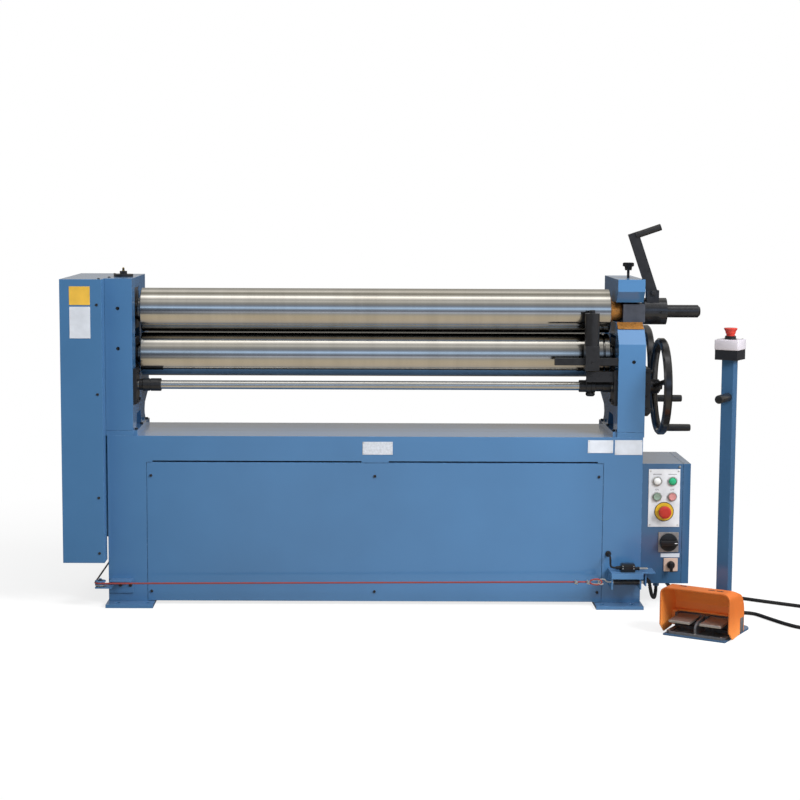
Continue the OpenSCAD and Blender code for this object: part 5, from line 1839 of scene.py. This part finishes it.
@dataclass
class FootStation:
    """The foot-control station: post, stop box, grip, tray, guard and pedals."""

    corner: Pair = (0.8008, -0.525)  # the X and Y of the floor plate's front left corner
    degrees: float = -31.5  # the station's turn about the vertical
    post: Pair = (0.103, 0.194)  # where the post stands on the plate
    top: float = 0.816  # the height of the stop box's top
    pedal_edges: Pair = (0.014, 0.104)  # where the pedals' left edges are
    pedal_width: float = 0.062  # a pedal's width
    hinge: Pair = (0.086, 0.04386)  # the pedals' hinge, as its place along the plate and its height
    floor: float = 0.012  # the height of the tray's floor
    apron_top: float = 0.0539  # the height of the step behind the pedals

    def build(self) -> None:
        """Dresses the station and makes its small parts."""
        dress(Finishes.BOX_PAINT, "station_base")
        dress(Finishes.TRAY, "pedal_tray")
        dress(Finishes.GUARD, "pedal_guard")
        dress(Finishes.PEDAL, "left_pedal", "right_pedal")
        dress(Finishes.STOP_BOX, "stop_box")
        self.button()
        self.grip()
        self.screws()
        self.pedal_parts()
        self.guard_parts()

    def at(self, piece: Piece) -> Piece:
        """Moves a piece that was made at the station's own corner to where the station stands."""
        pick(piece)
        turn = Matrix.Rotation(math.radians(self.degrees), 4, "Z")
        piece.matrix_world = Matrix.Translation((*self.corner, 0.0)) @ turn @ piece.matrix_world
        return named(piece.name)

    def button(self) -> None:
        """Makes the red mushroom on the stop box with its collar, and the box's lid, seam and screws."""
        (u, v), top = self.post, self.top
        head = self.at(turned("station_stop_head", Axis.Z, (u, v, top - 0.0027), mm(
            (0, 0), (0, 11.8), (19.4, 11.8), (20.3, 13.6), (26.5, 14.6), (30, 16.6), (32.2, 18.3), (34, 18.7),
            (35.6, 18), (36, 16.2), (36, 0),
        ), 56))
        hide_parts("station_button")
        settle(head, Finishes.RED, "station_button")
        for name, half, low, high, edge, segments, finish in (
            ("stop_box_lid", 0.034, -0.0275, 0.0015, 0.0022, 3, Finishes.LID),
            # Painted shade in the seam under the lid
            ("stop_box_seam", 0.0322, -0.029, -0.0272, 0.0006, 2, Finishes.PAINTED_SHADE),
        ):
            corners = (u - half, v - half, top + low), (u + half, v + half, top + high)
            settle(self.at(block(name, *corners, edge, segments)), finish)
        collar = turned("station_stop_collar", Axis.Z, (u, v, top), mm(
            (1, 12.2), (1, 17.2), (3.6, 17.2), (4.4, 15.2), (10.4, 15.2), (11.2, 14), (11.2, 12.2), (1, 12.2),
        ), 44)
        settle(self.at(collar), Finishes.PLASTIC)
        places = [(u + i * 0.0265, v + k * 0.0265, top + 0.0014) for i in (-1, 1) for k in (-1, 1)]
        heads = screws("lid_screw", Axis.Z, places, 0.003, Head.BUTTON)
        settle(self.at(joined("lid_screws", heads)), Finishes.ZINC)

    def grip(self) -> None:
        """Makes the grip on the post."""
        u, v = self.post
        piece = self.at(turned("station_grip_turned", Axis.FRONT, (u + 0.003, v - 0.017, 0.656), mm(
            (0, 0), (0, 11.7), (1.2, 12.4), (64, 12.2), (71.5, 11.9), (74, 10), (74.5, 6), (74.5, 0),
        ), 40))
        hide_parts("station_grip")
        settle(piece, Finishes.PLASTIC)

    def screws(self) -> None:
        """Makes the tray's screws."""
        floor, step = self.floor, self.apron_top
        places = [(0.01, 0.02, floor), (0.166, 0.008, floor), (0.01, 0.135, step), (0.166, 0.135, step)]
        heads = screws("tray_screw", Axis.Z, [*places, (0.09, 0.0075, floor)], 0.0035, Head.BUTTON)
        settle(self.at(joined("tray_screws", heads)), Finishes.ZINC)

    def pedal_parts(self) -> None:
        """Makes each pedal's lip and the spring under it."""
        v, z = self.hinge
        wide = self.pedal_width
        for body, u in zip(("left_pedal", "right_pedal"), self.pedal_edges):
            low, high = (u, v - 0.083, z - 0.0036), (u + wide, v - 0.08, z + 0.0034)
            lip = block(f"{body}_lip", low, high, 0.0012, 3)
            settle(self.at(swung(lip, 2.0, "X", (u, v, z))), Finishes.PEDAL_EDGE, body)
            foot = (u + wide / 2, v - 0.058, self.floor + 0.0002)
            spring = self.at(coil(f"{body}_spring", Axis.Z, foot, 0.0235, 0.0045, 0.0007, 6.5))
            settle(spring, Finishes.SPRING)
            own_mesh(spring)

    def guard_parts(self) -> None:
        """Makes the painted shade of the slots in the guard's top, and the apron and shoulders behind the
        pedals.
        """
        # Painted shade: thin dark blocks stand in for the slots' openings
        slots = [
            block(f"slot_{u}", (u - 0.01, v - 0.0035, 0.1352), (u + 0.01, v + 0.0035, 0.13635), 0.0004, 1)
            for u, v in ((0.042, 0.04), (0.128, 0.028), (0.152, 0.028))
        ]
        settle(self.at(joined("guard_slots", slots)), Finishes.PAINTED_SHADE)
        for name, low, high, edge, finish in (
            ("guard_apron", (0.0045, 0.0955, 0.0514), (0.1755, 0.113, 0.056), 0.001, Finishes.GUARD),
            ("guard_shoulder", (-0.0088, 0.0868, 0.0125), (0.005, 0.112, 0.0545), 0.0008, Finishes.GUARD),
            ("tray_shoulder", (0.175, 0.0868, 0.0125), (0.1925, 0.112, 0.0545), 0.0008, Finishes.TRAY),
        ):
            settle(self.at(block(name, low, high, edge)), finish)


# ---------------------------------------------------------------- making


def main() -> None:
    """Builds the studio, then the cords, then each sub-assembly."""
    logging.basicConfig(level=logging.INFO, format="%(name)s: %(message)s")
    deselect()
    Studio().build()
    for kind in (
        PedalCable, RopeStop, Cabinet, Stands, Rolls, Bearings, Adjusting, ConeStop, ControlBox, FootStation
    ):
        LOG.info("building %s", kind.__name__)
        kind().build()


if __name__ == "__main__":
    main()
